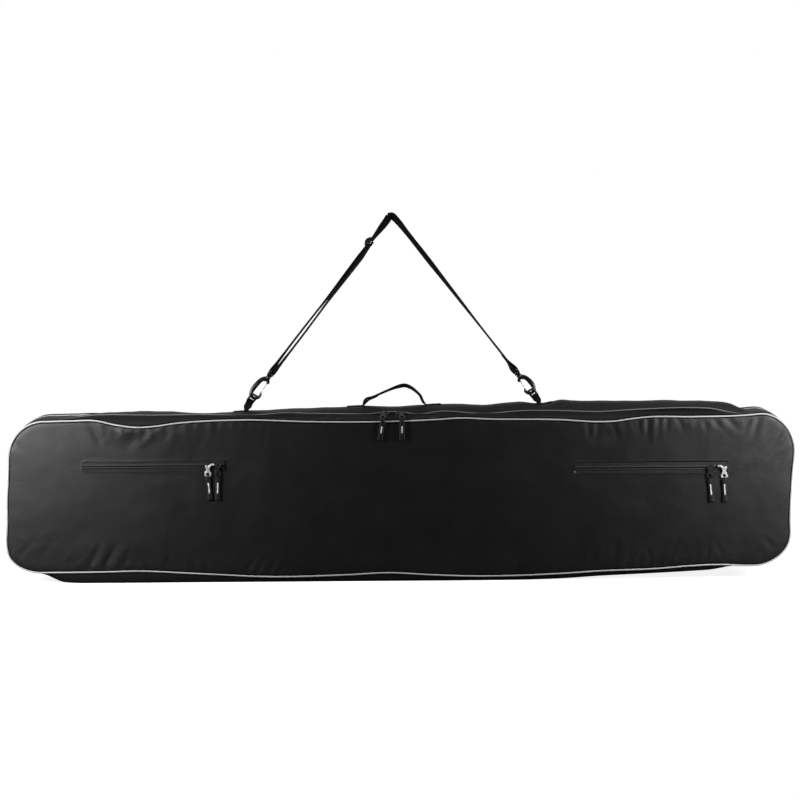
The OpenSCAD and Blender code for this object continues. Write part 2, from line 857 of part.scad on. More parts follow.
module hook(side) {
  on_leg(side) {
    rotate([90, 0, 0]) linear_extrude(hook_w, center = true) difference() {
      union() {
        translate([0, throat_u])
          teardrop(throat_r + bow_t, top_r + bow_t, throat_len, -spine_t);
        translate([-top_r - 1, throat_top]) square([2 * top_r + 2, stem_u - throat_top]);
      }
      translate([0, throat_u]) teardrop(throat_r, top_r, throat_len, 0);
      translate([1, gate_low]) square([2 * throat_r + bow_t, gate_high - gate_low]);
      translate([gate_pin_x, gate_pin_u]) circle(gate_eye_r + pin_gap);
    }
    translate([gate_pin_x, 0, gate_pin_u]) rotate([90, 0, 0])
      cylinder(r = gate_pin_r, h = hook_w, center = true);
    for (y = [-1, 1]) translate([gate_pin_x, y * (hook_w - cheek_t) / 2, gate_pin_u])
      rotate([90, 0, 0]) cylinder(r = gate_eye_r + pin_gap + cheek_rim, h = cheek_t, center = true);
    translate([0, 0, stem_u - 1]) cylinder(r = top_r + 2, h = shoulder_u - stem_u + 1);
    translate([0, 0, shoulder_u - 1]) cylinder(r = swivel_r, h = head_u - shoulder_u + 1 + head_t);
    translate([0, 0, head_u]) cylinder(r = swivel_r + head_rim, h = head_t);
  }
}

module gate(side) {
  reach = gate_pin_u - gate_low;
  width = hook_w - 2 * cheek_t - 2 * pin_gap;
  on_leg(side) translate([gate_pin_x, 0, gate_pin_u]) difference() {
    union() {
      rotate([90, 0, 0]) cylinder(r = gate_eye_r, h = width, center = true);
      for (y = [-1, 1]) translate([0, y * (width - gate_d - pin_gap) / 2, 0])
        rotate([0, 180 - gate_slant, 0]) cylinder(d = gate_d, h = reach - pin_gap);
    }
    rotate([90, 0, 0]) cylinder(r = gate_pin_r + pin_gap, h = hook_w, center = true);
  }
}

module swivel_eye(side) {
  arm = 3;
  half = web_w / 2 + seam_gap + arm;
  collar_r = swivel_r + pin_gap + collar_wall;
  base_u = shoulder_u + pin_gap;
  on_leg(side) {
    difference() {
      union() {
        translate([0, 0, base_u]) cylinder(r = collar_r, h = collar_t);
        translate([-collar_r / 2, -half, base_u]) cube([collar_r, 2 * half, collar_t]);
      }
      translate([0, 0, base_u - 1]) cylinder(r = swivel_r + pin_gap, h = collar_t + 2);
    }
    for (y = [-half, half - arm]) translate([-arm / 2, y, base_u]) {
      cube([arm, arm, eye_u - base_u]);
      translate([arm / 2, 0, eye_u - base_u]) rotate([-90, 0, 0]) cylinder(r = eye_bar_r, h = arm);
    }
    translate([0, 0, eye_u]) rotate([90, 0, 0]) cylinder(r = eye_bar_r, h = 2 * half, center = true);
  }
}

// Half turn of webbing under the eye's bar
module web_turn() {
  translate([0, 0, eye_u]) rotate([90, 0, 0]) difference() {
    cylinder(r = web_loop_r + web_t, h = web_w, center = true);
    cylinder(r = web_loop_r, h = web_w + 2, center = true);
    translate([-web_w, 0, -web_w]) cube(2 * web_w);
  }
}

module web_layer(x, from, to) {
  translate([x - web_t / 2, -web_w / 2, from]) cube([web_t, web_w, to - from]);
}

// The two layers of the right leg are sewn together above the eye, and the left one has a loose tail
peak_r = 3;
peak_gap = peak_r + web_t + 2;
join_len = 40;
fold_r = 0.2;
tail_len = 12;

module strap_left_leg() {
  color(black) on_leg(-1) {
    web_turn();
    web_layer(-layer_x, eye_u, leg_len - peak_gap);
    web_layer(layer_x, eye_u, adjuster_u + tail_len);
  }
}

module strap_right_leg() {
  color(black) on_leg(1) {
    translate([0, 0, eye_u]) rotate([90, 0, 0]) linear_extrude(web_w, center = true) difference() {
      teardrop(web_loop_r + web_t, web_t, join_len, 0);
      teardrop(web_loop_r, fold_r, join_len - web_t, 0);
    }
    web_layer(0, eye_u + join_len, leg_len - peak_gap);
    translate([0, 0, leg_len - peak_gap]) rotate([90, 0, 0])
      cylinder(r = peak_r, h = web_w, center = true);
  }
}

// Three-bar adjuster: the middle bar lies between the two layers of webbing
module strap_adjuster() {
  bar = 3;
  rail = 3;
  pitch = 9;
  half = web_w / 2 + seam_gap + rail;
  outer_x = -layer_x - web_t / 2 - seam_gap - bar;
  inner_x = layer_x - web_t / 2 - seam_gap;
  color(black) on_leg(-1) translate([0, 0, adjuster_u]) {
    for (z = [-pitch, pitch]) translate([outer_x, -half, z - bar / 2]) cube([bar, 2 * half, bar]);
    translate([-bar / 2, -half, -bar / 2]) cube([bar, 2 * half, bar]);
    for (y = [-half, half - rail]) translate([outer_x, y, -pitch - bar / 2])
      cube([inner_x - outer_x, rail, 2 * pitch + bar]);
  }
}

module left_strap_tab() {
  color(soft_black) strap_tab(-1);
}

module right_strap_tab() {
  color(soft_black) strap_tab(1);
}

module left_ring() {
  color(soft_black) bar_ring(-1);
}

module right_ring() {
  color(soft_black) bar_ring(1);
}

module left_hook() {
  color(soft_black) hook(-1);
}

module right_hook() {
  color(soft_black) hook(1);
}

module left_gate() {
  color(metal) gate(-1);
}

module right_gate() {
  color(metal) gate(1);
}

module left_swivel_eye() {
  color(soft_black) swivel_eye(-1);
}

module right_swivel_eye() {
  color(soft_black) swivel_eye(1);
}

back_panel();
back_padding();
back_lining();
back_piping();
base_gusset();
left_base_corner();
right_base_corner();
top_gusset();
left_end_gusset();
right_end_gusset();
rear_zip_tape();
rear_zip_coil();
handle_sewn_ends();
strap_tab_feet();
front_panel();
front_padding();
front_lining();
front_piping();
front_gusset();
front_zip_tape();
front_zip_coil();
left_pocket_tapes();
right_pocket_tapes();
left_pocket_coils();
right_pocket_coils();
left_pocket_bag();
right_pocket_bag();
main_slider_left();
main_slider_right();
left_pocket_slider_a();
left_pocket_slider_b();
right_pocket_slider_a();
right_pocket_slider_b();
main_tab_left();
main_tab_right();
left_pocket_tab_a();
left_pocket_tab_b();
right_pocket_tab_a();
right_pocket_tab_b();
main_grip_left();
main_grip_right();
left_pocket_grip_a();
left_pocket_grip_b();
right_pocket_grip_a();
right_pocket_grip_b();
carry_handle();
left_strap_tab();
right_strap_tab();
left_ring();
right_ring();
left_hook();
right_hook();
left_gate();
right_gate();
left_swivel_eye();
right_swivel_eye();
strap_left_leg();
strap_right_leg();
strap_adjuster();
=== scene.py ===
"""Looks of a padded snowboard bag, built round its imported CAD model.

The bag's cloth, zips, pulls, handle and shoulder strap are modelled here as meshes in the CAD frame.
Lengths in tables are millimetres, and MM turns them into Blender's metres. X runs along the bag, the front
panel faces -Y, and Z is up.
"""

import json
import math

import bpy
import numpy as np
from mathutils import Matrix, Vector, noise


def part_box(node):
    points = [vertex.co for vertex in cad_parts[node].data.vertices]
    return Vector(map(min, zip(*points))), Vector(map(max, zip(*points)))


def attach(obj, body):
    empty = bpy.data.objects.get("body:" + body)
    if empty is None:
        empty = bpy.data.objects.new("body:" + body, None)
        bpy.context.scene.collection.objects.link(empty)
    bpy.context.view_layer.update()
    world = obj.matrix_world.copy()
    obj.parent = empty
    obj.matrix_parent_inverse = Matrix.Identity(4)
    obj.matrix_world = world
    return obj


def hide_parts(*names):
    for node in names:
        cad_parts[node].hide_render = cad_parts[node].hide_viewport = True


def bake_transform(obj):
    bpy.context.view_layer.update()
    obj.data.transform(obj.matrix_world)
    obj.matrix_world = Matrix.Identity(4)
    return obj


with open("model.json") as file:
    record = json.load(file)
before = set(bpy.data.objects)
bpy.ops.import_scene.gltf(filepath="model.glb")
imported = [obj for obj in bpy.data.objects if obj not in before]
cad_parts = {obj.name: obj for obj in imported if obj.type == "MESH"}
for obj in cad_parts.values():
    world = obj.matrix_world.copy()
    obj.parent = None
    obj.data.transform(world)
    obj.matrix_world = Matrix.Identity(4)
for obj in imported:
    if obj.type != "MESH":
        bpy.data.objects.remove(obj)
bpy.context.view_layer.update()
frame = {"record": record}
scene = bpy.context.scene
MM = 0.001

# Sizes read from the frame, in millimetres
pipe_low, pipe_high = (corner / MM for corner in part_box("front_piping"))
HALF_LEN = pipe_high.x
PIPE_R = (pipe_high.y - pipe_low.y) / 2
PIPE_Y = (pipe_high.y + pipe_low.y) / 2
PATH_X = HALF_LEN - PIPE_R
PATH_LOW = pipe_low.z + PIPE_R
PATH_HIGH = pipe_high.z - PIPE_R
MIDDLE = (PATH_LOW + PATH_HIGH) / 2
HALF_PATH = (PATH_HIGH - PATH_LOW) / 2
FOOT_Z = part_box("handle_sewn_ends")[0].z / MM
EDGE_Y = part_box("base_gusset")[1].y / MM

# Corner radius of the piping's middle line
PATH_R = 78
CORNER_X = PATH_X - PATH_R
CORNER_LOW = PATH_LOW + PATH_R
CORNER_HIGH = PATH_HIGH - PATH_R
# Length over which the crown dies out towards a corner
FADE = 105
# The end seams' offsets come in from this place along the bag, over this length
END_FROM = 600
END_REACH = 220

# How the soft bag differs from its straight pattern: (place along the bag, offset)
TOP_SEAM = [
    (-825, 3), (-745, 5), (-690, 6), (-639, 6), (-601, -2.5), (-555, -8.5), (-513, -6.3), (-475, -1),
    (-402, 4), (-326, 5.5), (-190, 0.8), (-85, -0.5), (0, 0.5), (82, 3.9), (120, 6), (189, 3.5), (333, 1.1),
    (419, -3.7), (446, -3), (480, 1.5), (507, 4.6), (616, 5.3), (708, 7), (760, 11), (825, 12),
]
LOW_SEAM = [
    (-825, -2), (-776, 1.5), (-690, 2.6), (-625, 3), (-567, 4.4), (-420, -2.5), (-274, -9.7), (-106, -6.4),
    (-31, -3.2), (60, -8), (132, -11), (333, -7.5), (417, -2.5), (536, 1.5), (604, 6.5), (670, 9),
    (737, 6.5), (780, 8), (825, 12),
]
LEFT_SEAM = [
    (20, -14), (54, -15), (79, -10), (120, -6), (180, -5), (222, -2.5), (264, -1), (306, -3.5), (340, -7),
]
RIGHT_SEAM = [(20, -6), (42, -5), (65, -5), (100, -6.5), (125, -7), (200, -4), (276, 3), (310, 6), (340, 8)]
CREST = [
    (-760, 341), (-713, 346), (-625, 354), (-492, 356), (-415, 351.5), (-376, 353), (-335, 355.5),
    (-311, 357), (-287, 357), (-250, 359.5), (-190, 361), (-125, 363), (-75, 365), (-15, 363), (45, 365.8),
    (90, 367.5), (135, 367), (170, 365), (225, 369.5), (258, 371), (281, 368), (306, 367.2), (322, 371.5),
    (338, 375), (362, 373), (420, 372), (520, 371.5), (560, 372.5), (600, 370.5), (650, 369.5), (690, 366),
    (718, 358), (745, 350), (760, 345),
]
HEM_RISE = [
    (-760, 8), (-690, 14), (-620, 16.5), (-545, 15.4), (-492, 15), (-430, 15.6), (-310, 13.5), (-240, 18),
    (-190, 16.4), (-120, 15), (-60, 14.8), (-38, 18), (0, 18), (34, 13), (82, 18.5), (180, 13), (250, 18.2),
    (333, 18.2), (415, 15.5), (507, 20), (616, 22), (690, 18), (760, 8),
]
BASE = [
    (-780, 10), (-734, 5), (-713, 2.5), (-690, 0.8), (-620, 0), (-450, 0), (-150, 0), (180, 0), (260, 0.5),
    (333, 2.5), (417, 7.5), (497, 11), (564, 14), (631, 17.5), (700, 22), (760, 28),
]

# Fold lines pressed into the front panel: start x, z, end x, z, depth, width
FRONT_FOLDS = [
    (-592, 326, -530, 326, -1.5, 15), (-566, 316, -570, 284, 0.4, 9), (-632, 334, -578, 284, -0.8, 9),
    (-510, 326, -556, 292, -0.6, 8), (-652, 328, -622, 284, 0.6, 8), (-640, 330, -612, 292, -0.4, 6),
    (-484, 322, -520, 288, 0.3, 8), (-600, 326, -590, 300, 0.3, 7), (-690, 40, -682, 74, 0.5, 5),
    (-676, 34, -664, 62, -0.4, 5), (-652, 32, -634, 92, 0.8, 6), (-634, 30, -622, 66, -0.5, 5),
    (-622, 34, -596, 90, 0.8, 6), (-604, 32, -582, 76, -0.5, 5), (-586, 38, -566, 74, 0.5, 5),
    (-740, 60, -734, 92, 0.3, 6), (-786, 66, -760, 96, 0.4, 7), (-500, 34, -488, 66, 0.35, 5),
    (-330, 26, -306, 66, 0.5, 5), (-308, 22, -284, 58, 0.6, 5), (-284, 22, -256, 64, 0.6, 6),
    (-264, 20, -236, 50, 0.4, 5), (-168, 262, -128, 238, 0.3, 6), (-320, 116, -262, 84, 0.3, 8),
    (392, 330, 404, 288, 0.6, 6), (414, 326, 400, 284, 0.7, 6), (446, 326, 452, 296, 0.45, 5),
    (488, 334, 494, 306, 0.5, 5), (500, 334, 504, 298, 0.7, 5), (518, 336, 518, 290, 0.7, 5),
    (530, 336, 532, 284, -0.5, 5), (556, 334, 560, 304, 0.6, 5), (584, 334, 590, 300, 0.6, 5),
    (602, 334, 606, 308, -0.4, 5), (628, 334, 642, 306, 0.6, 5), (652, 336, 674, 306, 0.7, 5),
    (684, 334, 706, 304, 0.7, 6), (724, 338, 716, 300, 0.5, 6), (752, 336, 726, 292, 0.9, 6),
    (770, 330, 740, 286, -0.6, 6), (792, 306, 758, 264, 0.9, 5), (800, 290, 766, 250, 0.8, 5),
    (808, 262, 782, 228, 0.5, 6), (238, 34, 250, 62, 0.4, 5), (262, 28, 276, 56, 0.4, 5),
    (398, 32, 404, 86, 0.8, 8), (446, 44, 458, 96, 0.5, 6), (474, 38, 478, 76, 0.5, 5),
    (492, 36, 496, 72, -0.5, 5), (520, 38, 516, 78, 0.5, 5), (566, 42, 584, 78, 0.5, 5),
    (580, 42, 598, 64, 0.35, 5), (640, 44, 650, 70, 0.5, 5), (672, 46, 664, 82, 0.4, 6),
    (782, 66, 754, 92, 0.5, 6), (-806, 300, -776, 262, 0.4, 8),
]
BACK_FOLDS = [
    (x, 330, x + 6, 296, 0.8, 6) for x in (-640, -604, -420, -388, 120, 156, 470, 506, 540)
] + [
    (x, 34, x - 5, 66, 0.8, 6) for x in (-560, -520, -210, -170, 250, 290, 580, 620)
]


def curve(table, at):
    """Smooth line through a table's points, with flat ends, read at one place or at many."""
    xs, ys = np.array(table, float).T
    slope = np.gradient(ys, xs)
    at = np.clip(at, xs[0], xs[-1])
    i = np.clip(np.searchsorted(xs, at) - 1, 0, len(xs) - 2)
    step = xs[i + 1] - xs[i]
    t = (at - xs[i]) / step
    return (
        (1 + 2 * t) * (1 - t) ** 2 * ys[i] + t * (1 - t) ** 2 * step * slope[i]
        + t * t * (3 - 2 * t) * ys[i + 1] + t * t * (t - 1) * step * slope[i + 1]
    )


def ease(t):
    """Smooth step from 0 to 1."""
    t = np.clip(t, 0, 1)
    return t * t * (3 - 2 * t)


def fade_at(x):
    """Share of the straight top's form at a place along the bag: it dies out at the corners."""
    return ease((CORNER_X - np.abs(x)) / FADE)


def waves(x, y, size, seed):
    """Gentle seeded noise over a sheet, one value for each point, with bumps of the given size."""
    flat = np.stack([np.ravel(x), np.ravel(y)], 1) / size
    found = [noise.noise(Vector((a, b, seed))) for a, b in flat]
    return np.array(found).reshape(np.shape(x))


def warp(x, z):
    """Moves a point of the straight panel to where the soft bag's seams carry it."""
    up = np.clip((z - MIDDLE) / HALF_PATH, 0, 1) ** 3
    down = np.clip((MIDDLE - z) / HALF_PATH, 0, 1) ** 3
    lift = up * curve(TOP_SEAM, x) + down * curve(LOW_SEAM, x)
    side = ease((np.abs(x) - END_FROM) / END_REACH)
    shift = side * np.where(x > 0, curve(RIGHT_SEAM, z), curve(LEFT_SEAM, z))
    return x + shift, z + lift


def run_along(parts, step):
    """Stations round the panel: arrays of x, z and the outward normal.

    Parts are 'left', 'top', 'right' or 'base', in their order round the panel.
    """
    turns = max(6, int(PATH_R * math.pi / 2 / step))

    def line(x0, z0, x1, z1, normal):
        wide, tall = x1 - x0, z1 - z0
        count = max(2, int(math.hypot(wide, tall) / step))
        return [(x0 + wide * i / count, z0 + tall * i / count, *normal) for i in range(count)]

    def arc(cx, cz, start, end):
        angles = [math.radians(start + (end - start) * i / turns) for i in range(turns)]
        ways = [(math.cos(a), math.sin(a)) for a in angles]
        return [(cx + PATH_R * nx, cz + PATH_R * nz, nx, nz) for nx, nz in ways]

    pieces = {
        "left": line(-PATH_X, CORNER_LOW, -PATH_X, CORNER_HIGH, (-1, 0))
        + arc(-CORNER_X, CORNER_HIGH, 180, 90),
        "top": line(-CORNER_X, PATH_HIGH, CORNER_X, PATH_HIGH, (0, 1)),
        "right": arc(CORNER_X, CORNER_HIGH, 90, 0)
        + line(PATH_X, CORNER_HIGH, PATH_X, CORNER_LOW, (1, 0)),
        "base": arc(CORNER_X, CORNER_LOW, 0, -90)
        + line(CORNER_X, PATH_LOW, -CORNER_X, PATH_LOW, (0, -1))
        + arc(-CORNER_X, CORNER_LOW, 270, 180),
    }
    ends = {"right": (PATH_X, CORNER_LOW, 1, 0), "base": (-PATH_X, CORNER_LOW, -1, 0)}
    found = [s for part in parts for s in pieces[part]]
    if parts[-1] in ends and len(parts) < len(pieces):
        found.append(ends[parts[-1]])
    return np.array(found, float).T


ZIP_PARTS = ["left", "top", "right"]
LOOP_PARTS = ["left", "top", "right", "base"]


# Mesh building

def outward(mesh):
    """Turns a closed mesh's faces to look out."""
    mesh.calc_loop_triangles()
    corners = np.array([t.vertices for t in mesh.loop_triangles])
    places = np.array([v.co for v in mesh.vertices])
    a, b, c = (places[corners[:, k]] for k in range(3))
    if np.sum(a * np.cross(b, c)) < 0:
        mesh.flip_normals()


def mesh_object(name, points, faces):
    mesh = bpy.data.meshes.new(name)
    mesh.from_pydata([tuple(p) for p in np.asarray(points) * MM], [], faces)
    mesh.validate()
    mesh.update()
    outward(mesh)
    mesh.shade_smooth()
    obj = bpy.data.objects.new(name, mesh)
    scene.collection.objects.link(obj)
    return obj


def grid_faces(rows, columns, first=0, wrap=False, flip=False):
    """Quads between points that are numbered row by row, from a first number on."""
    faces = []
    for i in range(rows - 1):
        for j in range(columns if wrap else columns - 1):
            k = (j + 1) % columns
            here = first + i * columns
            face = (here + j, here + k, here + columns + k, here + columns + j)
            faces.append(face[::-1] if flip else face)
    return faces


def shell_faces(rows, columns, flip):
    """Faces of a closed sheet: the grids of its two sides, and the edge between them."""
    count = rows * columns
    faces = grid_faces(rows, columns, flip=flip) + grid_faces(rows, columns, count, flip=not flip)
    ring = [i * columns for i in range(rows)] + [count - columns + j for j in range(1, columns)]
    ring += [i * columns + columns - 1 for i in range(rows - 2, -1, -1)] + list(range(columns - 2, 0, -1))
    for a, b in zip(ring, ring[1:] + ring[:1]):
        edge = (a, a + count, b + count, b)
        faces.append(edge if flip else edge[::-1])
    return faces


def tube(name, rings, loop=False):
    """Skin over rings of points, shape (rings, points, 3). A loop joins its last ring to its first."""
    rings = np.asarray(rings, float)
    count, around = rings.shape[:2]
    faces = grid_faces(count, around, wrap=True)
    if loop:
        last = (count - 1) * around
        faces += [(last + j, last + (j + 1) % around, (j + 1) % around, j) for j in range(around)]
    else:
        faces += [tuple(range(around))[::-1], tuple(range((count - 1) * around, count * around))]
    return mesh_object(name, rings.reshape(-1, 3), faces)


def normed(v):
    """The same vectors with length 1."""
    return v / np.maximum(np.linalg.norm(v, axis=-1, keepdims=True), 1e-9)


def bar(name, path, side, width, thick, round_power=2.6, around=14, loop=False):
    """Bar with a rounded cross-section along a path.

    Side points across its width. Side, width and thick are one value each, or one for each point of the path.
    """
    path = np.asarray(path, float)
    count = len(path)
    if loop:
        ahead = np.roll(path, -1, 0) - np.roll(path, 1, 0)
    else:
        ahead = np.gradient(path, axis=0)
    ahead = normed(ahead)
    side = np.broadcast_to(np.asarray(side, float), (count, 3))
    side = normed(side - ahead * np.sum(side * ahead, 1, keepdims=True))
    up = np.cross(ahead, side)
    width = np.broadcast_to(np.asarray(width, float), (count,))[:, None, None]
    thick = np.broadcast_to(np.asarray(thick, float), (count,))[:, None, None]
    angle = np.arange(around) * 2 * math.pi / around
    c = np.sign(np.cos(angle)) * np.abs(np.cos(angle)) ** (2 / round_power)
    s = np.sign(np.sin(angle)) * np.abs(np.sin(angle)) ** (2 / round_power)
    rings = (
        path[:, None, :]
        + side[:, None, :] * c[None, :, None] * width / 2
        + up[:, None, :] * s[None, :, None] * thick / 2
    )
    return tube(name, rings, loop)


def through(points, per_span, closed=False):
    """Smooth path through a few points in space."""
    p = np.asarray(points, float)
    n = len(p)
    found = []
    for i in range(n if closed else n - 1):
        if closed:
            a, b, c, d = (p[(i + k) % n] for k in (-1, 0, 1, 2))
        else:
            a, b, c, d = p[max(i - 1, 0)], p[i], p[i + 1], p[min(i + 2, n - 1)]
        for k in range(per_span):
            t = k / per_span
            bend = (2 * a - 5 * b + 4 * c - d) + t * (3 * b - a - 3 * c + d)
            found.append(b + t * ((c - a) + t * bend) / 2)
    if not closed:
        found.append(p[-1])
    return np.array(found)


def moulded(name, outlines, thick, edge, place=Matrix.Identity(4)):
    """Flat piece with rounded edges from closed outlines, in millimetres, the first one the outside."""
    line = bpy.data.curves.new(name, "CURVE")
    line.dimensions = "2D"
    line.fill_mode = "BOTH"
    line.extrude = max(thick / 2 - edge, 0) * MM
    line.bevel_depth = edge * MM
    line.bevel_resolution = 3
    line.offset = -edge * MM
    for outline in outlines:
        spline = line.splines.new("POLY")
        spline.points.add(len(outline) - 1)
        spline.points.foreach_set("co", np.array([(x * MM, y * MM, 0, 1) for x, y in outline]).ravel())
        spline.use_cyclic_u = True
    shape = bpy.data.objects.new(name + "_outline", line)
    scene.collection.objects.link(shape)
    bpy.context.view_layer.update()
    mesh = bpy.data.meshes.new_from_object(shape.evaluated_get(bpy.context.evaluated_depsgraph_get()))
    bpy.data.objects.remove(shape)
    mesh.name = name
    mesh.materials.clear()
    mesh.transform(place)
    mesh.shade_smooth()
    mesh.set_sharp_from_angle(angle=math.radians(50))
    obj = bpy.data.objects.new(name, mesh)
    scene.collection.objects.link(obj)
    return obj


def arc_points(cx, cy, r, start, end, count):
    """Points of an arc, with its angles in degrees."""
    angles = [math.radians(start + (end - start) * i / count) for i in range(count + 1)]
    return [(cx + r * math.cos(a), cy + r * math.sin(a)) for a in angles]


def round_box(w, h, r):
    """Outline of a box with rounded corners, round its middle."""
    found = []
    for k, (sx, sy) in enumerate(((1, 1), (-1, 1), (-1, -1), (1, -1))):
        found += arc_points(sx * (w / 2 - r), sy * (h / 2 - r), r, 90 * k, 90 * (k + 1), 6)
    return found


def joined(name, objects):
    """One object from several that make one piece."""
    target = objects[0]
    with bpy.context.temp_override(active_object=target, selected_editable_objects=objects):
        bpy.ops.object.join()
    target.name = name
    target.data.name = name
    return target


def moved(obj, place):
    """Moves a piece's points by a matrix, and turns its faces outward again after a mirrored one."""
    obj.data.transform(place)
    if place.determinant() < 0:
        obj.data.flip_normals()
    return obj


def dress(obj, body, slot, material, *nodes):
    """Gives a piece its material, the body that it rides on and the CAD nodes that it stands for."""
    obj.data.materials.clear()
    obj.data.materials.append(material)
    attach(obj, body)
    if nodes:
        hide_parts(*nodes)
    return obj


def run_of(line):
    """Distance along a line of points, at each of its points."""
    return np.concatenate([[0], np.cumsum(np.linalg.norm(np.diff(line, axis=0), axis=1))])


# Radius of sewing thread
THREAD_R = 0.38


def stitches(name, line, facing, length=3.2, pitch=4.6):
    """Row of sewn stitches along a line of points, each a small rounded thread that lies on the cloth."""
    line = np.asarray(line, float)
    facing = np.asarray(facing, float)
    run = run_of(line)
    points, faces = [], []
    for middle in np.arange(pitch / 2, run[-1] - pitch / 4, pitch):
        spots = middle + np.array([-1, 0, 1]) * length / 2
        ends = np.stack([np.interp(spots, run, line[:, k]) for k in range(3)], 1)
        ahead = normed(ends[2] - ends[0])
        across = normed(np.cross(ahead, facing))
        first = len(points)
        for place, size, rise in ((ends[0], 0.35, -0.6), (ends[1], 1, 0.35), (ends[2], 0.35, -0.6)):
            for a in range(6):
                turn = a * math.pi / 3
                out = across * size * math.cos(turn) + facing * (size * math.sin(turn) + rise)
                points.append(place + THREAD_R * out)
        faces += grid_faces(3, 6, first, wrap=True)
        faces += [tuple(first + k for k in range(6))[::-1], tuple(first + 12 + k for k in range(6))]
    return mesh_object(name, points, faces)


# Materials

def colour(code):
    """sRGB hex to linear RGBA."""
    parts = [int(code[i:i + 2], 16) / 255 for i in (1, 3, 5)]
    return tuple(c / 12.92 if c <= 0.04045 else ((c + 0.055) / 1.055) ** 2.4 for c in parts) + (1.0,)


def add(tree, kind, links=(), **settings):
    """Adds a node. A setting is a property or an input's value, and a link is (input, from node, output)."""
    node = tree.nodes.new(kind)
    for key, value in settings.items():
        name = key.replace("_", " ")
        if name in node.inputs:
            node.inputs[name].default_value = value
        else:
            setattr(node, key, value)
    for target, source, output in links:
        tree.links.new(source.outputs[output], node.inputs[target])
    return node


def surface(name):
    """New material with its node tree and shader."""
    material = bpy.data.materials.new(name)
    material.use_nodes = True
    return material, material.node_tree, material.node_tree.nodes["Principled BSDF"]


def ramp(tree, source, output, stops):
    """Colour ramp over a node's output, with stops as (place, colour)."""
    node = add(tree, "ShaderNodeValToRGB", [("Fac", source, output)])
    while len(node.color_ramp.elements) < len(stops):
        node.color_ramp.elements.new(0.5)
    for element, (place, code) in zip(node.color_ramp.elements, stops):
        element.position = place
        element.color = colour(code)
    return node


# A wave texture at scale 1 turns through this many radians in a metre
WAVE_TURN = 20


def woven(name, dark, light, thread, rough, specular, sheen, bump, weave="plain"):
    """Cloth of crossing threads with fine rumples, and soft noise for faded patches.

    Thread is the threads' pitch in millimetres. A plain weave crosses squarely, and a twill on the slant.
    """
    material, tree, shader = surface(name)
    place = add(tree, "ShaderNodeTexCoord")
    scale = 2 * math.pi / (thread * MM) / WAVE_TURN
    threads = []
    for way in ("X", "Z" if weave == "plain" else "DIAGONAL"):
        threads.append(add(tree, "ShaderNodeTexWave", [("Vector", place, "Object")], Scale=scale,
                           bands_direction=way, Distortion=0.4, Detail=1.0, Detail_Scale=1.5))
    both = [(k, node, "Fac") for k, node in enumerate(threads)]
    crossing = add(tree, "ShaderNodeMath", both, operation="MULTIPLY")
    patches = add(tree, "ShaderNodeTexNoise", [("Vector", place, "Object")],
                  Scale=14.0, Detail=4.0, Roughness=0.6)
    mottle = add(tree, "ShaderNodeMath", [(0, patches, "Fac"), (1, crossing, 0)], operation="MULTIPLY_ADD")
    mottle.inputs[2].default_value = 0.18
    tint = ramp(tree, mottle, 0, [(0.12, dark), (0.72, light)])
    tree.links.new(tint.outputs["Color"], shader.inputs["Base Color"])
    fuzz = add(tree, "ShaderNodeMapRange", [("Value", patches, "Fac")],
               To_Min=rough - 0.07, To_Max=rough + 0.07)
    tree.links.new(fuzz.outputs["Result"], shader.inputs["Roughness"])
    crinkle = add(tree, "ShaderNodeTexNoise", [("Vector", place, "Object")],
                  Scale=120.0, Detail=3.0, Roughness=0.65)
    rumple = add(tree, "ShaderNodeBump", [("Height", crinkle, "Fac")], Strength=0.16, Distance=0.0009)
    relief = add(tree, "ShaderNodeBump", [("Height", crossing, 0), ("Normal", rumple, "Normal")],
                 Strength=bump, Distance=0.0003)
    tree.links.new(relief.outputs["Normal"], shader.inputs["Normal"])
    shader.inputs["Specular IOR Level"].default_value = specular
    shader.inputs["Sheen Weight"].default_value = sheen
    shader.inputs["Sheen Roughness"].default_value = 0.45
    shader.inputs["Sheen Tint"].default_value = colour("#c9cbd0")
    return material


def moulded_finish(name, code, rough, specular, grain, coat=0.0, metallic=0.0, streak=False):
    """Cast, moulded or plated surface: two close colours, smudged, with fine grain and uneven gloss."""
    material, tree, shader = surface(name)
    place = add(tree, "ShaderNodeTexCoord")
    if streak:
        drawn = add(tree, "ShaderNodeMapping", [("Vector", place, "Object")], Scale=(30.0, 30.0, 700.0))
        smudge = add(tree, "ShaderNodeTexNoise", [("Vector", drawn, "Vector")], Scale=3.0, Detail=3.0)
    else:
        smudge = add(tree, "ShaderNodeTexNoise", [("Vector", place, "Object")], Scale=160.0, Detail=3.0)
    tint = ramp(tree, smudge, "Fac", [(0.3, code[0]), (0.75, code[1])])
    tree.links.new(tint.outputs["Color"], shader.inputs["Base Color"])
    gloss = add(tree, "ShaderNodeMapRange", [("Value", smudge, "Fac")],
                To_Min=rough * 0.75, To_Max=min(1.0, rough * 1.3))
    tree.links.new(gloss.outputs["Result"], shader.inputs["Roughness"])
    pits = add(tree, "ShaderNodeTexNoise", [("Vector", place, "Object")], Scale=1 / (grain * MM), Detail=2.0)
    relief = add(tree, "ShaderNodeBump", [("Height", pits, "Fac")], Strength=0.12, Distance=0.0002)
    tree.links.new(relief.outputs["Normal"], shader.inputs["Normal"])
    shader.inputs["Specular IOR Level"].default_value = specular
    shader.inputs["Coat Weight"].default_value = coat
    shader.inputs["Coat Roughness"].default_value = 0.12
    shader.inputs["Metallic"].default_value = metallic
    return material


# Polyester cover cloth, 600 denier, woven and coated: black with a soft grey bloom under side light.
# Threads are about 0.5 mm and are drawn at 1.4 mm so that they show.
COVER = woven("polyester_cover_cloth", "#050506", "#0a0a0b", 1.4, 0.41, 0.42, 0.0, 0.35)
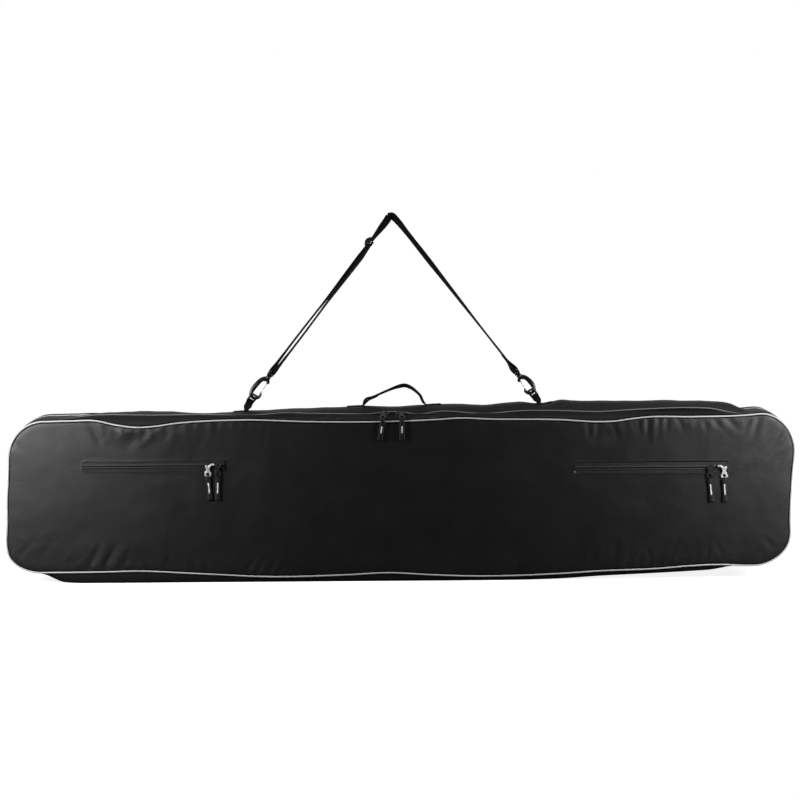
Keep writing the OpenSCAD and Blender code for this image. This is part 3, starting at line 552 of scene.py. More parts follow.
# The same cloth for the gusset, duller and a little paler.
GUSSET = woven("polyester_gusset_cloth", "#111112", "#1b1b1d", 1.4, 0.75, 0.2, 0.0, 0.35)
# Nylon lining, plain woven and thin: dark grey with a slight satin look.
LINING = woven("nylon_lining_cloth", "#2b2c2e", "#3d3e41", 1.1, 0.5, 0.3, 0.15, 0.3)
# Piping: cord in a reflective grey cover, woven fine, so it reads as one bright line.
PIPING = woven("grey_piping_cover", "#939496", "#b9babc", 0.9, 0.5, 0.35, 0.1, 0.25)
# Hem fold: the cover cloth's folded edge, painted paler than the rest as a highlight along the fold.
HEM_FOLD_HIGHLIGHT = woven("hem_fold_painted_highlight", "#58585b", "#7e7e82", 1.1, 0.7, 0.2, 0.05, 0.3)
# Zip tape: polyester herringbone, dense and flat.
TAPE = woven("herringbone_zip_tape", "#09090a", "#111112", 1.0, 0.65, 0.18, 0.0, 0.5, weave="twill")
# Seam tape along the piping: black cotton, matt and near black. It is painted shade: a dark line that stands
# for the shadow in the seam beside the cord.
SEAM_SHADE_TAPE = woven("seam_tape_painted_shade", "#020202", "#050505", 0.9, 0.9, 0.03, 0.0, 0.3)
# Pocket tape: the same tape with a smooth coat, close to the cover cloth's own tone.
COATED_TAPE = woven("coated_pocket_tape", "#050506", "#0a0a0b", 1.0, 0.44, 0.38, 0.0, 0.4, weave="twill")
# Webbing: polypropylene, coarse woven, black and nearly matt.
WEBBING = woven("polypropylene_webbing", "#0c0c0d", "#181819", 2.0, 0.85, 0.08, 0.02, 0.3, weave="twill")
# Sewing thread: spun polyester, black.
THREAD = woven("black_sewing_thread", "#1c1c1d", "#3a3a3c", 0.5, 0.6, 0.3, 0.1, 0.3)
# Coil: nylon filament, set in a spiral, satin black.
COIL = moulded_finish("nylon_zip_coil", ("#101011", "#1d1d1f"), 0.42, 0.4, 0.4)
# Enamel: black stoved paint on cast zinc, satin with uneven gloss.
ENAMEL = moulded_finish("black_enamel_on_zinc", ("#08080a", "#131315"), 0.4, 0.35, 0.6, coat=0.12)
# Nickel: bright plate on cast zinc, tumbled smooth, so it mirrors the room softly.
NICKEL = moulded_finish("bright_nickel_plate", ("#c8c9cb", "#f0f1f2"), 0.34, 0.5, 0.8, metallic=0.8)
# Slider nickel: the same plate in the sliders' bodies, its colour painted dark as a painted reflection of the
# black cloth round it.
NICKEL_DARK_REFLECTION = moulded_finish("nickel_plate_painted_reflection", ("#161618", "#2c2d30"), 0.34, 0.5, 0.8, metallic=0.5)
# Rubber: soft moulded compound for the grips, matt black with a faint grain.
RUBBER = moulded_finish("moulded_grip_rubber", ("#050506", "#0c0c0d"), 0.5, 0.3, 0.5)
# Stripe: pale grey compound moulded into the grip's face.
STRIPE = moulded_finish("grey_grip_stripe", ("#a9abad", "#cfd1d3"), 0.45, 0.4, 0.5)
# Acetal: black, injection moulded and glossy.
ACETAL = moulded_finish("black_acetal_moulding", ("#0d0d0e", "#191a1b"), 0.2, 0.55, 0.9, coat=0.3)
# Steel wire: drawn and bright, streaked along its length.
STEEL = moulded_finish("drawn_steel_wire", ("#8f9193", "#c4c6c8"), 0.28, 0.5, 0.5, metallic=1.0, streak=True)


# Padded panels

POCKETS = {}
for side in ("left", "right"):
    low, high = (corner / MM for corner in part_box(side + "_pocket_tapes"))
    POCKETS[side] = (low.x + 8, high.x - 8, (low.z + high.z) / 2)
# Half the height of a pocket window, and how far inside the piping the panel's edge lies
WINDOW_HALF = 10.8
SEAM_STEP = 1.7
# How far the cover stands out from the gusset's edge, a window's floor out from the cover, and the padding's
# inner face in from the gusset's edge
COVER_OUT = 0.9
WINDOW_OUT = -1.6
PADDING_IN = 4.3


def edge_distance(x, z):
    """Distance from a point of the straight panel to its piping."""
    dx = np.abs(x) - CORNER_X
    dz = np.abs(z - MIDDLE) - (CORNER_HIGH - MIDDLE)
    corner = np.hypot(np.maximum(dx, 0), np.maximum(dz, 0))
    return PATH_R - np.where((dx > 0) & (dz > 0), corner, np.maximum(dx, dz))


def folds_at(x, z, folds):
    """Depth of the fold lines at each point: a crisp groove between two low ridges, deepest near the seam."""
    depth = np.zeros_like(x)
    for x0, z0, x1, z1, deep, wide in folds:
        length = math.hypot(x1 - x0, z1 - z0)
        ax, az = (x1 - x0) / length, (z1 - z0) / length
        along = ((x - x0) * ax + (z - z0) * az) / length
        across = (x - x0) * az - (z - z0) * ax + 2.5 * np.sin(along * 3.4 + x0)
        reach = np.clip(1 - np.abs(along - 0.3) / 0.8, 0, 1)
        valley = np.exp(-(across / wide) ** 2) - 0.35 * np.exp(-((np.abs(across) - wide * 1.7) / wide) ** 2)
        depth += deep * valley * ease(reach)
    return depth


def panel_places(windows):
    """Columns and rows of the panel's grid, closer together round the pocket windows."""
    columns = list(np.arange(-CORNER_X, CORNER_X + 1, 3.4))
    rows = list(np.arange(PATH_LOW + SEAM_STEP, PATH_HIGH, 4.2)) + [PATH_HIGH - SEAM_STEP]
    for x0, x1, z in windows:
        columns += [x0 - 2, x0, x0 + 1.0, x0 + 2.5, x1 - 2.5, x1 - 1.0, x1, x1 + 2]
        rows += [z + s * (WINDOW_HALF + d) for s in (-1, 1) for d in (-2.5, -1.0, 0, 2)]
    columns = np.array(sorted(columns))
    rows = np.array(sorted(rows))
    columns = columns[np.concatenate([[True], np.diff(columns) > 0.6])]
    rows = rows[np.concatenate([[True], np.diff(rows) > 0.6])]
    turn = np.radians(np.arange(3, 91, 3.0))
    wing = CORNER_X + (PATH_R - SEAM_STEP) * np.sin(turn)
    return np.concatenate([-wing[::-1], columns, wing]), rows


def panel(name, sign, folds, windows, seed):
    """Closed padded panel: a crowned outer face with folds, windows and puckers, and a flat inner face."""
    columns, rows = panel_places(windows)
    x, z = np.meshgrid(columns, rows, indexing="ij")
    wing = np.clip(np.abs(x) - CORNER_X, 0, PATH_R - SEAM_STEP)
    tall = (CORNER_HIGH - MIDDLE) + np.sqrt((PATH_R - SEAM_STEP) ** 2 - wing ** 2)
    z = MIDDLE + (z - MIDDLE) * np.minimum(tall / (HALF_PATH - SEAM_STEP), 1)
    near = np.maximum(edge_distance(x, z) - SEAM_STEP, 0)
    out = 1.1 + 0.8 * (1 - np.exp(-near / 5)) + 1.2 * (1 - np.exp(-near / 60))
    pucker = np.sin(x / 3.6 + 2.2 * np.sin(x / 47) + seed) * (0.55 + 0.45 * np.sin(x / 83 + seed))
    out += 0.55 * pucker * np.exp(-near / 11) * np.minimum(near / 3, 1)
    out += 0.7 * waves(x, z, 95, seed) + 0.3 * waves(x, z, 33, seed + 7)
    out += 0.12 * waves(x, 1.7 * z, 13, seed + 3)
    out -= folds_at(x, z, folds) * np.minimum(near / 4, 1)
    for x0, x1, mid in windows:
        inside = np.minimum(np.minimum(x - x0, x1 - x), WINDOW_HALF - np.abs(z - mid))
        round_end = WINDOW_HALF - np.hypot(np.maximum(x0 + WINDOW_HALF - x, 0), z - mid)
        inside = np.where(x < x0 + WINDOW_HALF, np.minimum(inside, round_end), inside)
        lip = 0.35 * np.exp(-(np.maximum(-inside, 0) / 3.5) ** 2)
        out = np.where(inside > 0.3, WINDOW_OUT, out + lip)
    fx, fz = warp(x, z)
    outer = np.stack([fx, sign * (EDGE_Y + COVER_OUT + out), fz], -1)
    inner = np.stack([fx, np.full_like(fx, sign * (EDGE_Y - PADDING_IN)), fz], -1)
    points = np.concatenate([outer.reshape(-1, 3), inner.reshape(-1, 3)])
    obj = mesh_object(name, points, shell_faces(*x.shape, sign > 0))
    obj.data.set_sharp_from_angle(angle=math.radians(70))
    return obj


for side, sign, body, folds, windows, seed in (
    ("front", -1, "lid", FRONT_FOLDS, list(POCKETS.values()), 1.0), ("back", 1, "bag", BACK_FOLDS, [], 5.0),
):
    cover = panel(side + "_cover", sign, folds, windows, seed)
    dress(cover, body, "cover_fabric", COVER, side + "_panel", side + "_padding")


# Thickness of the lining
LINING_T = 0.6


def lining(side, body, seed):
    """Lining sheet that lies on the padding, with soft creases."""
    low, high = (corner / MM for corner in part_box(side + "_lining"))
    columns = np.linspace(low.x, high.x, 150)
    rows = np.linspace(low.z, high.z, 34)
    x, z = np.meshgrid(columns, rows, indexing="ij")
    reach = PATH_R - (PATH_X - high.x)
    wing = np.clip(np.abs(x) - (high.x - reach), 0, reach)
    half = (high.z - low.z) / 2
    z = MIDDLE + (z - MIDDLE) * (half - reach + np.sqrt(reach ** 2 - wing ** 2)) / half
    y = (low.y + high.y) / 2 + 0.25 * waves(x, z, 60, seed)
    x, z = warp(x, z)
    inside = np.stack([x, y - LINING_T / 2, z], -1).reshape(-1, 3)
    outside = np.stack([x, y + LINING_T / 2, z], -1).reshape(-1, 3)
    points = np.concatenate([inside, outside])
    obj = mesh_object(side + "_lining_cloth", points, shell_faces(*x.shape, False))
    dress(obj, body, "lining", LINING, side + "_lining")


lining("front", "lid", 2.0)
lining("back", "bag", 3.0)

# Piping and the cloth that runs round the bag

PIPING_D = 2 * PIPE_R - 0.5


def piping(side, sign, body):
    """Piping cord round a panel, with a dark tape beside it that is painted shade in the seam."""
    name = side + "_piping_cord"
    x, z, nx, nz = run_along(LOOP_PARTS, 4.0)
    px, pz = warp(x, z)
    ripple = 0.35 * np.sin(np.arange(len(x)) * 0.9) * waves(x, z, 40, 9.0)
    path = np.stack([px, np.full_like(px, PIPE_Y * -sign) + ripple, pz], -1)
    # The tape is painted shade: a dark line on both sides of the cord at the top, and elsewhere on its inner
    # side, where the seam lies in shadow
    inward = ease(np.maximum(np.abs(nx), -nz) / 0.5)
    shade_tape_path = path - 1.15 * inward[:, None] * np.stack([nx, 0 * nx, nz], -1)
    shade_tape = bar(name + "_tape", shade_tape_path, (0, 1, 0), 1.2, PIPING_D + 4.6 - 2.3 * inward,
               round_power=4, around=8, loop=True)
    dress(shade_tape, body, "piping", SEAM_SHADE_TAPE)
    obj = bar(name, path, (0, 1, 0), PIPING_D, PIPING_D, round_power=2, around=10, loop=True)
    dress(obj, body, "piping", PIPING, side + "_piping")


piping("front", -1, "lid")
piping("back", 1, "bag")

# The main zip lies on a slope between the front strip and the top gusset. The gap between its two tapes comes
# from the CAD pieces. The tilt is in degrees.
tape_low, tape_high = (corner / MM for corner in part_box("front_zip_tape"))
rear_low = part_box("rear_zip_tape")[0] / MM
SLOT_Y = (tape_high.y + rear_low.y) / 2
ZIP_TILT = 29.155
SLOPE = math.tan(math.radians(ZIP_TILT))
STRIP_Y = -EDGE_Y
STRIP_UP = 1.6
HEM_Y = -42.8
# Thickness of gusset cloth, of the front strip and of zip tape
CLOTH_T = 1.2
STRIP_T = 1.0
TAPE_T = 0.8
# How far a cloth's middle lies over the piping's line at the ends
END_UP = 0.2


def slope_rise(y):
    """Height of the zip's slope over the piping's straight line."""
    return (y - STRIP_Y) * SLOPE + STRIP_UP


def ribbon(name, stations, profile):
    """Cloth round the bag. The profile is y and rise of its closed outline, arrays of (stations, points)."""
    x, z, nx, nz = stations
    y, rise = profile
    points = np.stack([x[:, None] + nx[:, None] * rise, y, z[:, None] + nz[:, None] * rise], -1)
    obj = tube(name, points)
    return obj


def thick_line(y, rise, thick):
    """Closed outline round a line of points: its upper side, then its lower side back again."""
    dy = np.gradient(y, axis=1)
    dr = np.gradient(rise, axis=1)
    size = np.hypot(dy, dr)
    ny, nr = -dr / size * thick / 2, dy / size * thick / 2
    return (
        np.concatenate([y + ny, (y - ny)[:, ::-1]], 1),
        np.concatenate([rise + nr, (rise - nr)[:, ::-1]], 1),
    )


def tops_at(x, nz):
    """Share of the straight top's form at each station, and none on the corners and the ends."""
    return (fade_at(x) * (nz > 0.999))[:, None]


zip_run = run_along(ZIP_PARTS, 6.0)
zx, zz, znx, znz = zip_run
tops = tops_at(zx, znz)


def seam_rise(stations):
    """How far the wavy piping stands off the straight path at each station."""
    x, z, nx, nz = stations
    wx, wz = warp(x, z)
    return ((wx - x) * nx + (wz - z) * nz)[:, None]


end_seam = seam_rise(zip_run)
hem = curve(HEM_RISE, zx)[:, None]

# Front strip: from the wavy piping up the slope to the straight zip
across = np.linspace(0, 1, 6)[None, :]
strip_end = tape_low.y + 3.2
strip_y = STRIP_Y + (strip_end - STRIP_Y) * across + 0 * tops
strip_rise = tops * slope_rise(strip_y) + (1 - tops) * END_UP
strip_rise += end_seam * ((1 - across) ** 1.5 * tops + 1 - tops)
strip_rise += 0.5 * np.sin(zx[:, None] / 5.2 + 1.5 * np.sin(zx[:, None] / 37)) * np.sin(math.pi * across)
strip = ribbon("front_strip_cloth", zip_run, thick_line(strip_y, strip_rise + 0.9, STRIP_T))
dress(strip, "lid", "cover_fabric", GUSSET, "front_gusset")


def zip_tape(side, low_y, high_y, body):
    """Zip tape with a rolled edge over the coil and fine ribs. The rear one dips where the hem is low."""
    points = np.linspace(0, 1, 12)[None, :]
    y = low_y + (high_y - low_y) * points + 0 * tops
    rise = tops * slope_rise(y) + (1 - tops) * END_UP
    if side == "rear":
        sink = np.clip((y - SLOT_Y - 2) / (HEM_Y - SLOT_Y - 2), 0, 1.2)
        rise = rise + tops * sink * np.minimum(hem - 1.4 - slope_rise(HEM_Y), 0)
    roll = points if side == "front" else 1 - points
    rise = rise + 0.5 * np.exp(-((roll - 0.82) / 0.12) ** 2) - 0.6 * np.exp(-((roll - 1) / 0.05) ** 2)
    rise = rise + 0.16 * np.sin(points * 30) + (1 - tops) * end_seam
    obj = ribbon(side + "_zip_tape_cloth", zip_run, thick_line(y, rise, TAPE_T))
    dress(obj, body, "zip_tape", TAPE, side + "_zip_tape")


zip_tape("front", tape_low.y, SLOT_Y - 0.9, "lid")
zip_tape("rear", SLOT_Y + 0.9, HEM_Y + 3.0, "bag")

# Half a turn of the coil along the zip, and how far the coil's middle lies under the tape
COIL_STEP = 1.25
COIL_DOWN = 1.7
# Half the width of a row of the main zip's coil, and the distance of its middle from the slot
COIL_HALF = 1.3
COIL_OFF = 2.3


def coil_section(count):
    """Offsets across and up round a row of coil at each station, with one rib for each turn of the filament.

    The offsets across are shares of half the row's width, and those up are in millimetres.
    """
    turn = np.where(np.arange(count) % 2 == 0, 1.0, 0.55)[:, None]
    angle = np.arange(8) * math.pi / 4
    return np.cos(angle)[None, :] * (0.8 + 0.2 * turn), 0.95 * turn * np.sin(angle)[None, :]


def zip_coil(side, mid_y, body):
    """Row of coil under the tape's edge."""
    stations = run_along(ZIP_PARTS, COIL_STEP)
    x, _, _, nz = stations
    keep = tops_at(x, nz)
    over, up = coil_section(len(x))
    y = mid_y + COIL_HALF * over
    rise = keep * slope_rise(y) + (1 - keep) * (END_UP + seam_rise(stations)) - COIL_DOWN + up
    obj = ribbon(side + "_coil_row", stations, (y, rise))
    dress(obj, body, "zip_coil", COIL, side + "_zip_coil")


zip_coil("front", SLOT_Y - COIL_OFF, "lid")
zip_coil("rear", SLOT_Y + COIL_OFF, "bag")


def belly_at(t):
    """How fully a gusset has come away from its seams at a share t of its half width."""
    return np.sin(np.clip((1 - np.abs(t)) / 0.16, 0, 1) * math.pi / 2) ** 0.8


# Top gusset: from the folded hem behind the zip, over the crest, to the back piping
crest = (curve(CREST, zx) - PATH_HIGH)[:, None]
stops = np.array([HEM_Y, -36, -27, -14, 0, 14, 34, 52, 64, EDGE_Y])
heights = np.concatenate([
    hem, hem + 0.45 * (crest - hem), hem + 0.8 * (crest - hem), crest - 0.2, crest, crest - 0.2,
    0.86 * crest, 0.62 * crest, 0.34 * crest, end_seam + 0.2,
], 1)
lines = np.linspace(HEM_Y, EDGE_Y, 30)
crown = np.stack([curve(list(zip(stops, row)), lines) for row in heights])
swell = np.sin(math.pi * (lines - HEM_Y) / (EDGE_Y - HEM_Y))[None, :]
puff = 2.0 * swell ** 0.7
# At its ends the gusset draws in to the base gusset's line
drawn = 1 - ease((zz - CORNER_LOW) / 50)[:, None]
end_rise = END_UP + end_seam + puff * (1 - drawn) - 1.5 * drawn * belly_at(lines / EDGE_Y)
right_share = ease((CORNER_X + 12 - zx) / 60) * (znz > 0.9)
crest_share = np.where(zx > 0, right_share, tops[:, 0])[:, None]
over_zip = ease((lines - HEM_Y) / 20)[None, :]
crown_share = tops + (crest_share - tops) * over_zip
gusset_rise = crown_share * crown + (1 - crown_share) * end_rise
grain_x = (zx + zz)[:, None] + 0 * gusset_rise
grain_y = lines[None, :] + 0 * gusset_rise
quiet = np.exp(-(lines / 13.0) ** 6)[None, :]
wrinkle = 0.9 * waves(grain_x, grain_y, 38, 4.0) + 0.5 * waves(grain_x, grain_y, 17, 6.0)
gusset_rise += wrinkle * (1 - quiet) * swell
top_cloth = ribbon("top_gusset_cloth", zip_run, thick_line(grain_y, gusset_rise - CLOTH_T / 2, CLOTH_T))
dress(top_cloth, "bag", "cover_fabric", GUSSET, "top_gusset", "left_end_gusset", "right_end_gusset")

# Folded hem: a narrow roll along the gusset's front edge, with its row of stitches behind it
hem_rise = gusset_rise[:, 0] - 0.3
hem_line = np.stack([zx + znx * hem_rise, np.full_like(zx, HEM_Y + 0.2), zz + znz * hem_rise], -1)
hem_roll = bar("hem_fold", hem_line, (0, 1, 0), 1.9, 2.1, round_power=2, around=8)
# The roll's pale cloth is a painted highlight along the hem's fold
dress(hem_roll, "bag", "cover_fabric", HEM_FOLD_HIGHLIGHT)
seam_line = np.stack([zx + znx * gusset_rise[:, 2], grain_y[:, 2], zz + znz * gusset_rise[:, 2]], -1)
hem_thread = stitches("hem_stitches", seam_line[28:-28], (0, -0.35, 0.94))
dress(hem_thread, "bag", "cover_fabric", THREAD)

# Base gusset: across the underside and up both lower corners, with its ends tucked in behind the end gussets
TUCK = 10
right_end, left_end = (np.array([[s * PATH_X], [CORNER_LOW + TUCK], [s], [0]]) for s in (1, -1))
base_run = np.concatenate([right_end, run_along(["base"], 6.0), left_end], 1)
bx, bz, _, bnz = base_run
sag = np.where(bx < 0, ease((CORNER_X + 34 + bx) / 70), fade_at(bx) * (bnz < -0.999))[:, None]
floor_drop = np.maximum(PATH_LOW - curve(BASE, bx), 0)[:, None]
low_seam = seam_rise(base_run)
lines = EDGE_Y * np.sin(np.linspace(-math.pi / 2, math.pi / 2, 34))
belly = belly_at(lines[None, :] / EDGE_Y)
base_rise = END_UP + (1 - belly * sag) * low_seam * 0.95 + belly * (sag * floor_drop - (1 - sag) * 1.5)
grain_x = bx[:, None] + 0 * base_rise
grain_y = lines[None, :] + 0 * base_rise
base_rise += 0.6 * waves(grain_x, grain_y, 30, 8.0) * np.sin(math.pi * belly)
base_rise -= (0.5 + 0.2 * (bz - CORNER_LOW))[:, None] * (bz >= CORNER_LOW - 0.1)[:, None]
base_cloth = ribbon("base_gusset_cloth", base_run, thick_line(grain_y, base_rise - CLOTH_T / 2, CLOTH_T))
dress(base_cloth, "bag", "cover_fabric", GUSSET, "base_gusset", "left_base_corner", "right_base_corner")


# Pocket zips

# Distance of the stitches from a window's edge
STITCH_OUT = 4.5
for side, (x0, x1, mid) in POCKETS.items():
    tape_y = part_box(side + "_pocket_tapes")[0].y / MM
    along = np.arange(x0 - 3, x1 + 3.1, 6.0)
    tapes = []
    for way in (-1, 1):
        points = np.linspace(0, 1, 12)[None, :]
        z = mid + way * (0.2 + (WINDOW_HALF + 1.0) * points) + 0 * along[:, None]
        y = tape_y - 0.5 * np.exp(-((points - 0.16) / 0.12) ** 2) + 0.5 * np.exp(-(points / 0.05) ** 2)
        y = y - 0.15 * np.sin(points * 30) + 0 * along[:, None]
        ring_y, ring_z = thick_line(y, z, TAPE_T)
        rings = np.stack([along[:, None] + 0 * ring_y, ring_y, ring_z], -1)
        tapes.append(tube("%s_pocket_tape_%d" % (side, way), rings))
    tape = joined(side + "_pocket_tape_cloth", tapes)
    dress(tape, "lid", "zip_tape", COATED_TAPE, side + "_pocket_tapes")
    along = np.arange(x0, x1, COIL_STEP)
    over, up = coil_section(len(along))
    rows = []
    for way in (-1, 1):
        z = mid + way * 2.2 + 1.2 * over
        y = tape_y + COIL_DOWN + up
        rows.append(tube("%s_coil_%d" % (side, way), np.stack([along[:, None] + 0 * z, y, z], -1)))
    dress(joined(side + "_pocket_coil_rows", rows), "lid", "zip_coil", COIL, side + "_pocket_coils")
    face_y = -(EDGE_Y + COVER_OUT + 3.1)
    half = WINDOW_HALF + STITCH_OUT
    end = x1 + STITCH_OUT
    sewn = [
        (end, mid + half), (x0 + 6, mid + half), *arc_points(x0 + 8, mid, half, 90, 270, 12),
        (end, mid - half), (end, mid + half),
    ]
    thread = stitches(side + "_window_stitches", [(x, face_y, z) for x, z in sewn], (0, -1, 0))
    dress(thread, "lid", "cover_fabric", THREAD)


# Sliders and pulls. Each is built flat along X with the tab side up, and then turned into place.

# Height of the bridge's bar over the slider's middle
BAR_UP = 7.0
# Outline of the slider's plate, with a notch between its two wide channels
SHIELD = (
    arc_points(-7.2, 2.9, 1.6, 90, 180, 4) + arc_points(-7.2, -2.9, 1.6, 180, 270, 4)
    + [(-2, -5.2), (3, -6.2)] + arc_points(6.4, -4.2, 2.4, 270, 360, 4)
    + [(8.9, -1.6), (7.4, 0), (8.9, 1.6)]
    + arc_points(6.4, 4.2, 2.4, 0, 90, 4) + [(3, 6.2), (-2, 5.2)]
)
# Distances down the tab from the bridge's bar to the cord's loop and to the grip's root
CORD_AT = 17.0
GRIP_AT = 23.5
# A main grip bends over the piping at this y and z, and hangs down in front of the panel
MAIN_BEND = (-81.0, 340.9)
JOINT_AT = {joint["name"]: joint for joint in frame["record"]["behaviour"]["joints"]}


def joint_place(name):
    """Where a joint lies, in millimetres."""
    return [value / MM for value in JOINT_AT[name]["pos_m"]]


def slider_object(name, half_lower, lean, lift):
    """Zip slider: a shield plate, a lower plate, the post and flanges between, and the arched bridge on top.

    The bridge is straight where the tab hangs, and swings aside at its other end. Lean and lift are the
    signs of its way along the slider and of its swing.
    """
    top = moulded(name + "_top", [SHIELD], 2.0, 0.7, Matrix.Translation((0, 0, 1.0 * MM)))
    lower_outline = [(x, min(y, 0.9)) for x, y in SHIELD] if half_lower else SHIELD
    lower = moulded(name + "_lower", [lower_outline], 1.4, 0.45, Matrix.Translation((0, 0, -4.6 * MM)))
    post_spot = Matrix.Translation((1.5 * MM, 0, -1.9 * MM))
    post = moulded(name + "_post", [round_box(5.0, 1.3, 0.5)], 4.4, 0.1, post_spot)
    line = [
        (-8.3, 0, 1.2), (-8.1, 0, 4.4), (-6.6, 0, 6.7), (-3.6, 0.1, 7.0), (-0.8, 1.2, 7.0), (2.2, 2.9, 6.8),
        (5.2, 3.6, 6.2), (7.6, 3.0, 4.2), (8.3, 2.2, 1.2),
    ]
    arch = through([(lean * x, lift * y, z) for x, y, z in line], 4)
    wide = 2.4 + 2.4 * ease((lean * arch[:, 0] + 1.6) / 4) + 1.8 * np.exp(-(lean * arch[:, 0] + 8.3) ** 2)
    bridge = bar(name + "_bridge", arch, (0, 1, 0), wide, 2.4, round_power=2.4, around=12)
    flanges = []
    for way in (-1,) if half_lower else (-1, 1):
        line = [(-5.5, way * 4.6, -0.6), (0, way * 5.0, -0.6), (5.5, way * 6.0, -0.6)]
        flanges.append(bar("%s_flange_%d" % (name, way), through(line, 4), (0, 1, 0), 0.9, 1.6, around=8))
    return joined(name, [top, lower, post, *flanges]), bridge


def x_tab_outline():
    """Cast tab: a forked head round the bridge, a narrow waist and a flared foot with the cord's hole."""
    right = [
        (4.8, 2.6), (5.8, 0.4), (5.5, -2.2), (4.2, -4.8), (3.6, -7.0), (4.2, -9.6), (6.0, -12.8),
        (7.2, -16.2), (7.0, -19.0), (5.4, -20.8), (2.0, -21.3),
    ]
    left = [(-x, y) for x, y in reversed(right)]
    fork = [(-2.0, 2.9), (-1.5, 0.2), (-0.8, -1.6), (0.8, -1.6), (1.5, 0.2), (2.0, 2.9)]
    ring = through([(x, y, 0) for x, y in right], 4)[:, :2].tolist()
    return ring + through([(x, y, 0) for x, y in left], 4)[:, :2].tolist() + fork


def tab_object(name):
    """Pull tab, hanging from the bridge: a plate with the cord's hole, and two eyes round the bar."""
    hole = arc_points(0, -16.8, 3.3, 360, 0, 20)[:-1]
    plate = moulded(name + "_plate", [x_tab_outline(), hole], 2.0, 0.55)
    turns = np.linspace(0, 2 * math.pi, 21)[:-1]
    eyes = []
    for x in (-2.5, 2.5):
        ring = np.stack([np.full_like(turns, x), 1.95 * np.cos(turns), 1.95 * np.sin(turns)], -1)
        eyes.append(bar("%s_eye_%d" % (name, x), ring, (1, 0, 0), 1.9, 1.0, around=8, loop=True))
    return joined(name, [plate, *eyes])


def grip_objects(name, path, sway, stripe_span):
    """Moulded grip: its body, wider towards both ends and drawn in at the tips, and its pale stripe."""
    side = np.array([1, 0, sway], float)
    t = np.linspace(0, 1, len(path))
    wave = np.cos(2 * math.pi * t)
    wide = 10.6 + 1.2 * wave - 5.0 * np.exp(-(t / 0.045) ** 2) - 3.2 * np.exp(-((1 - t) / 0.05) ** 2)
    deep = 4.2 + 0.3 * wave - 2.0 * np.exp(-(t / 0.04) ** 2) - 1.6 * np.exp(-((1 - t) / 0.04) ** 2)
    body = bar(name, path, side, wide, deep, round_power=3.4, around=20)
    ahead = normed(np.gradient(path, axis=0))
    out = np.cross(ahead, np.broadcast_to(side, path.shape))
    out *= np.sign(np.sum(out * np.array([0, -1, 0.2]), 1, keepdims=True))
    line = (path + out * 2.05)[(t > stripe_span[0]) & (t < stripe_span[1])]
    stripe = bar(name + "_stripe", line, side, 2.7, 0.9, round_power=4, around=10)
    return body, stripe


def cord_loop(name, hole, root, out):
    """Cord from the grip's root, through the tab's hole and back."""
    down = normed(root - hole)
    ring = [
        root + out * 0.9, (hole + root) / 2 + out * 2.0, hole + out * 1.9 - down * 0.4, hole - down * 2.9,
        hole - out * 1.9 - down * 0.4, (hole + root) / 2 - out * 2.0, root - out * 0.9,
    ]
    side = normed(np.cross(down, out))
    return bar(name, through(ring, 5), side, 1.7, 1.7, round_power=2, around=8)


def zip_set(name, shift, bright, flip, sway, bend=None):
    """One slider with its tab and grip, lying on its zip at the place of the tab's hinge.

    The name has a gap for each piece's own word. Shift is the tab's place along the bridge, flip turns the
    slider to run the other way, and sway is how far the grip hangs to one side, as a share of its length.
    Bend is the y and z where a main grip bends over, and a pocket's grip has none.
    """
    slider, pull = name % "slider", name % "pull"
    place = joint_place(name % "flip")
    tilt = math.radians(90 if bend is None else ZIP_TILT)
    lay = Matrix.Rotation(tilt, 4, "X")
    metal, slot = (NICKEL, "nickel_plate") if bright else (ENAMEL, "black_enamel")
    turn = Matrix.Translation(Vector(place) * MM) @ lay @ Matrix.Translation((0, 0, -BAR_UP * MM))
    if flip:
        turn = turn @ (Matrix.Rotation(math.pi, 4, "Z") if bend is None else Matrix.Scale(-1, 4, (1, 0, 0)))
    lift = -1 if flip and bend is None else 1
    lean = -1 if (shift > 0) != flip else 1
    casting, bridge = slider_object(slider + "_casting", bend is not None, lean, lift)
    # A bright slider's body takes the nickel whose dark colour is a painted reflection of the cloth
    dress(moved(casting, turn), slider, slot, NICKEL_DARK_REFLECTION if bright else ENAMEL, slider)
    dress(moved(bridge, turn), slider, slot, metal)
    middle = np.array(place) + (shift, 0, 0)
    tab = moved(tab_object(pull + "_tab"), Matrix.Translation(Vector(middle) * MM) @ lay)
    dress(tab, pull, slot, metal, name % "tab")
    down = np.array([0, -math.cos(tilt), -math.sin(tilt)])
    out = np.array([0, -math.sin(tilt), math.cos(tilt)])
    root = middle + down * GRIP_AT
    if bend is None:
        path = [root + (down + (sway, 0, 0)) * d for d in (0, 6, 24, 42, 48)]
        stripe_span = (0.3, 0.66)
    else:
        path = [root, root + down * 3, (middle[0], *bend)]
        path += [(middle[0] + sway * d, bend[0] - 0.3, bend[1] - d) for d in (8, 22, 36, 42)]
        stripe_span = (0.55, 0.74)
    grip, stripe = grip_objects(pull + "_grip", through(path, 6), sway, stripe_span)
    cord = cord_loop(pull + "_cord", middle + down * CORD_AT, root + down * 1.5, out)
    dress(grip, pull, "grip_rubber", RUBBER, name % "grip")
    dress(stripe, pull, "grip_rubber", STRIPE)
    dress(cord, pull, "webbing", WEBBING)


for side, shift, sway in (("left", -4.6, -0.15), ("right", 4.6, 0.0)):
    zip_set("main_%s_" + side, shift, False, side == "right", sway, MAIN_BEND)
for side, which, shift, bright, sway in (
    ("left", "a", -4.6, True, 0.09), ("left", "b", -4.6, False, -0.03),
    ("right", "a", -4.6, False, 0.1), ("right", "b", 4.6, True, 0.05),
):
    zip_set(side + "_pocket_%s_" + which, shift, bright, which == "b", sway)


# Carry handle and shoulder strap

# Width and thickness of webbing
WEB_W = 24.6
WEB_T = 1.7
HANDLE_TURN = joint_place("handle_swing")[2]


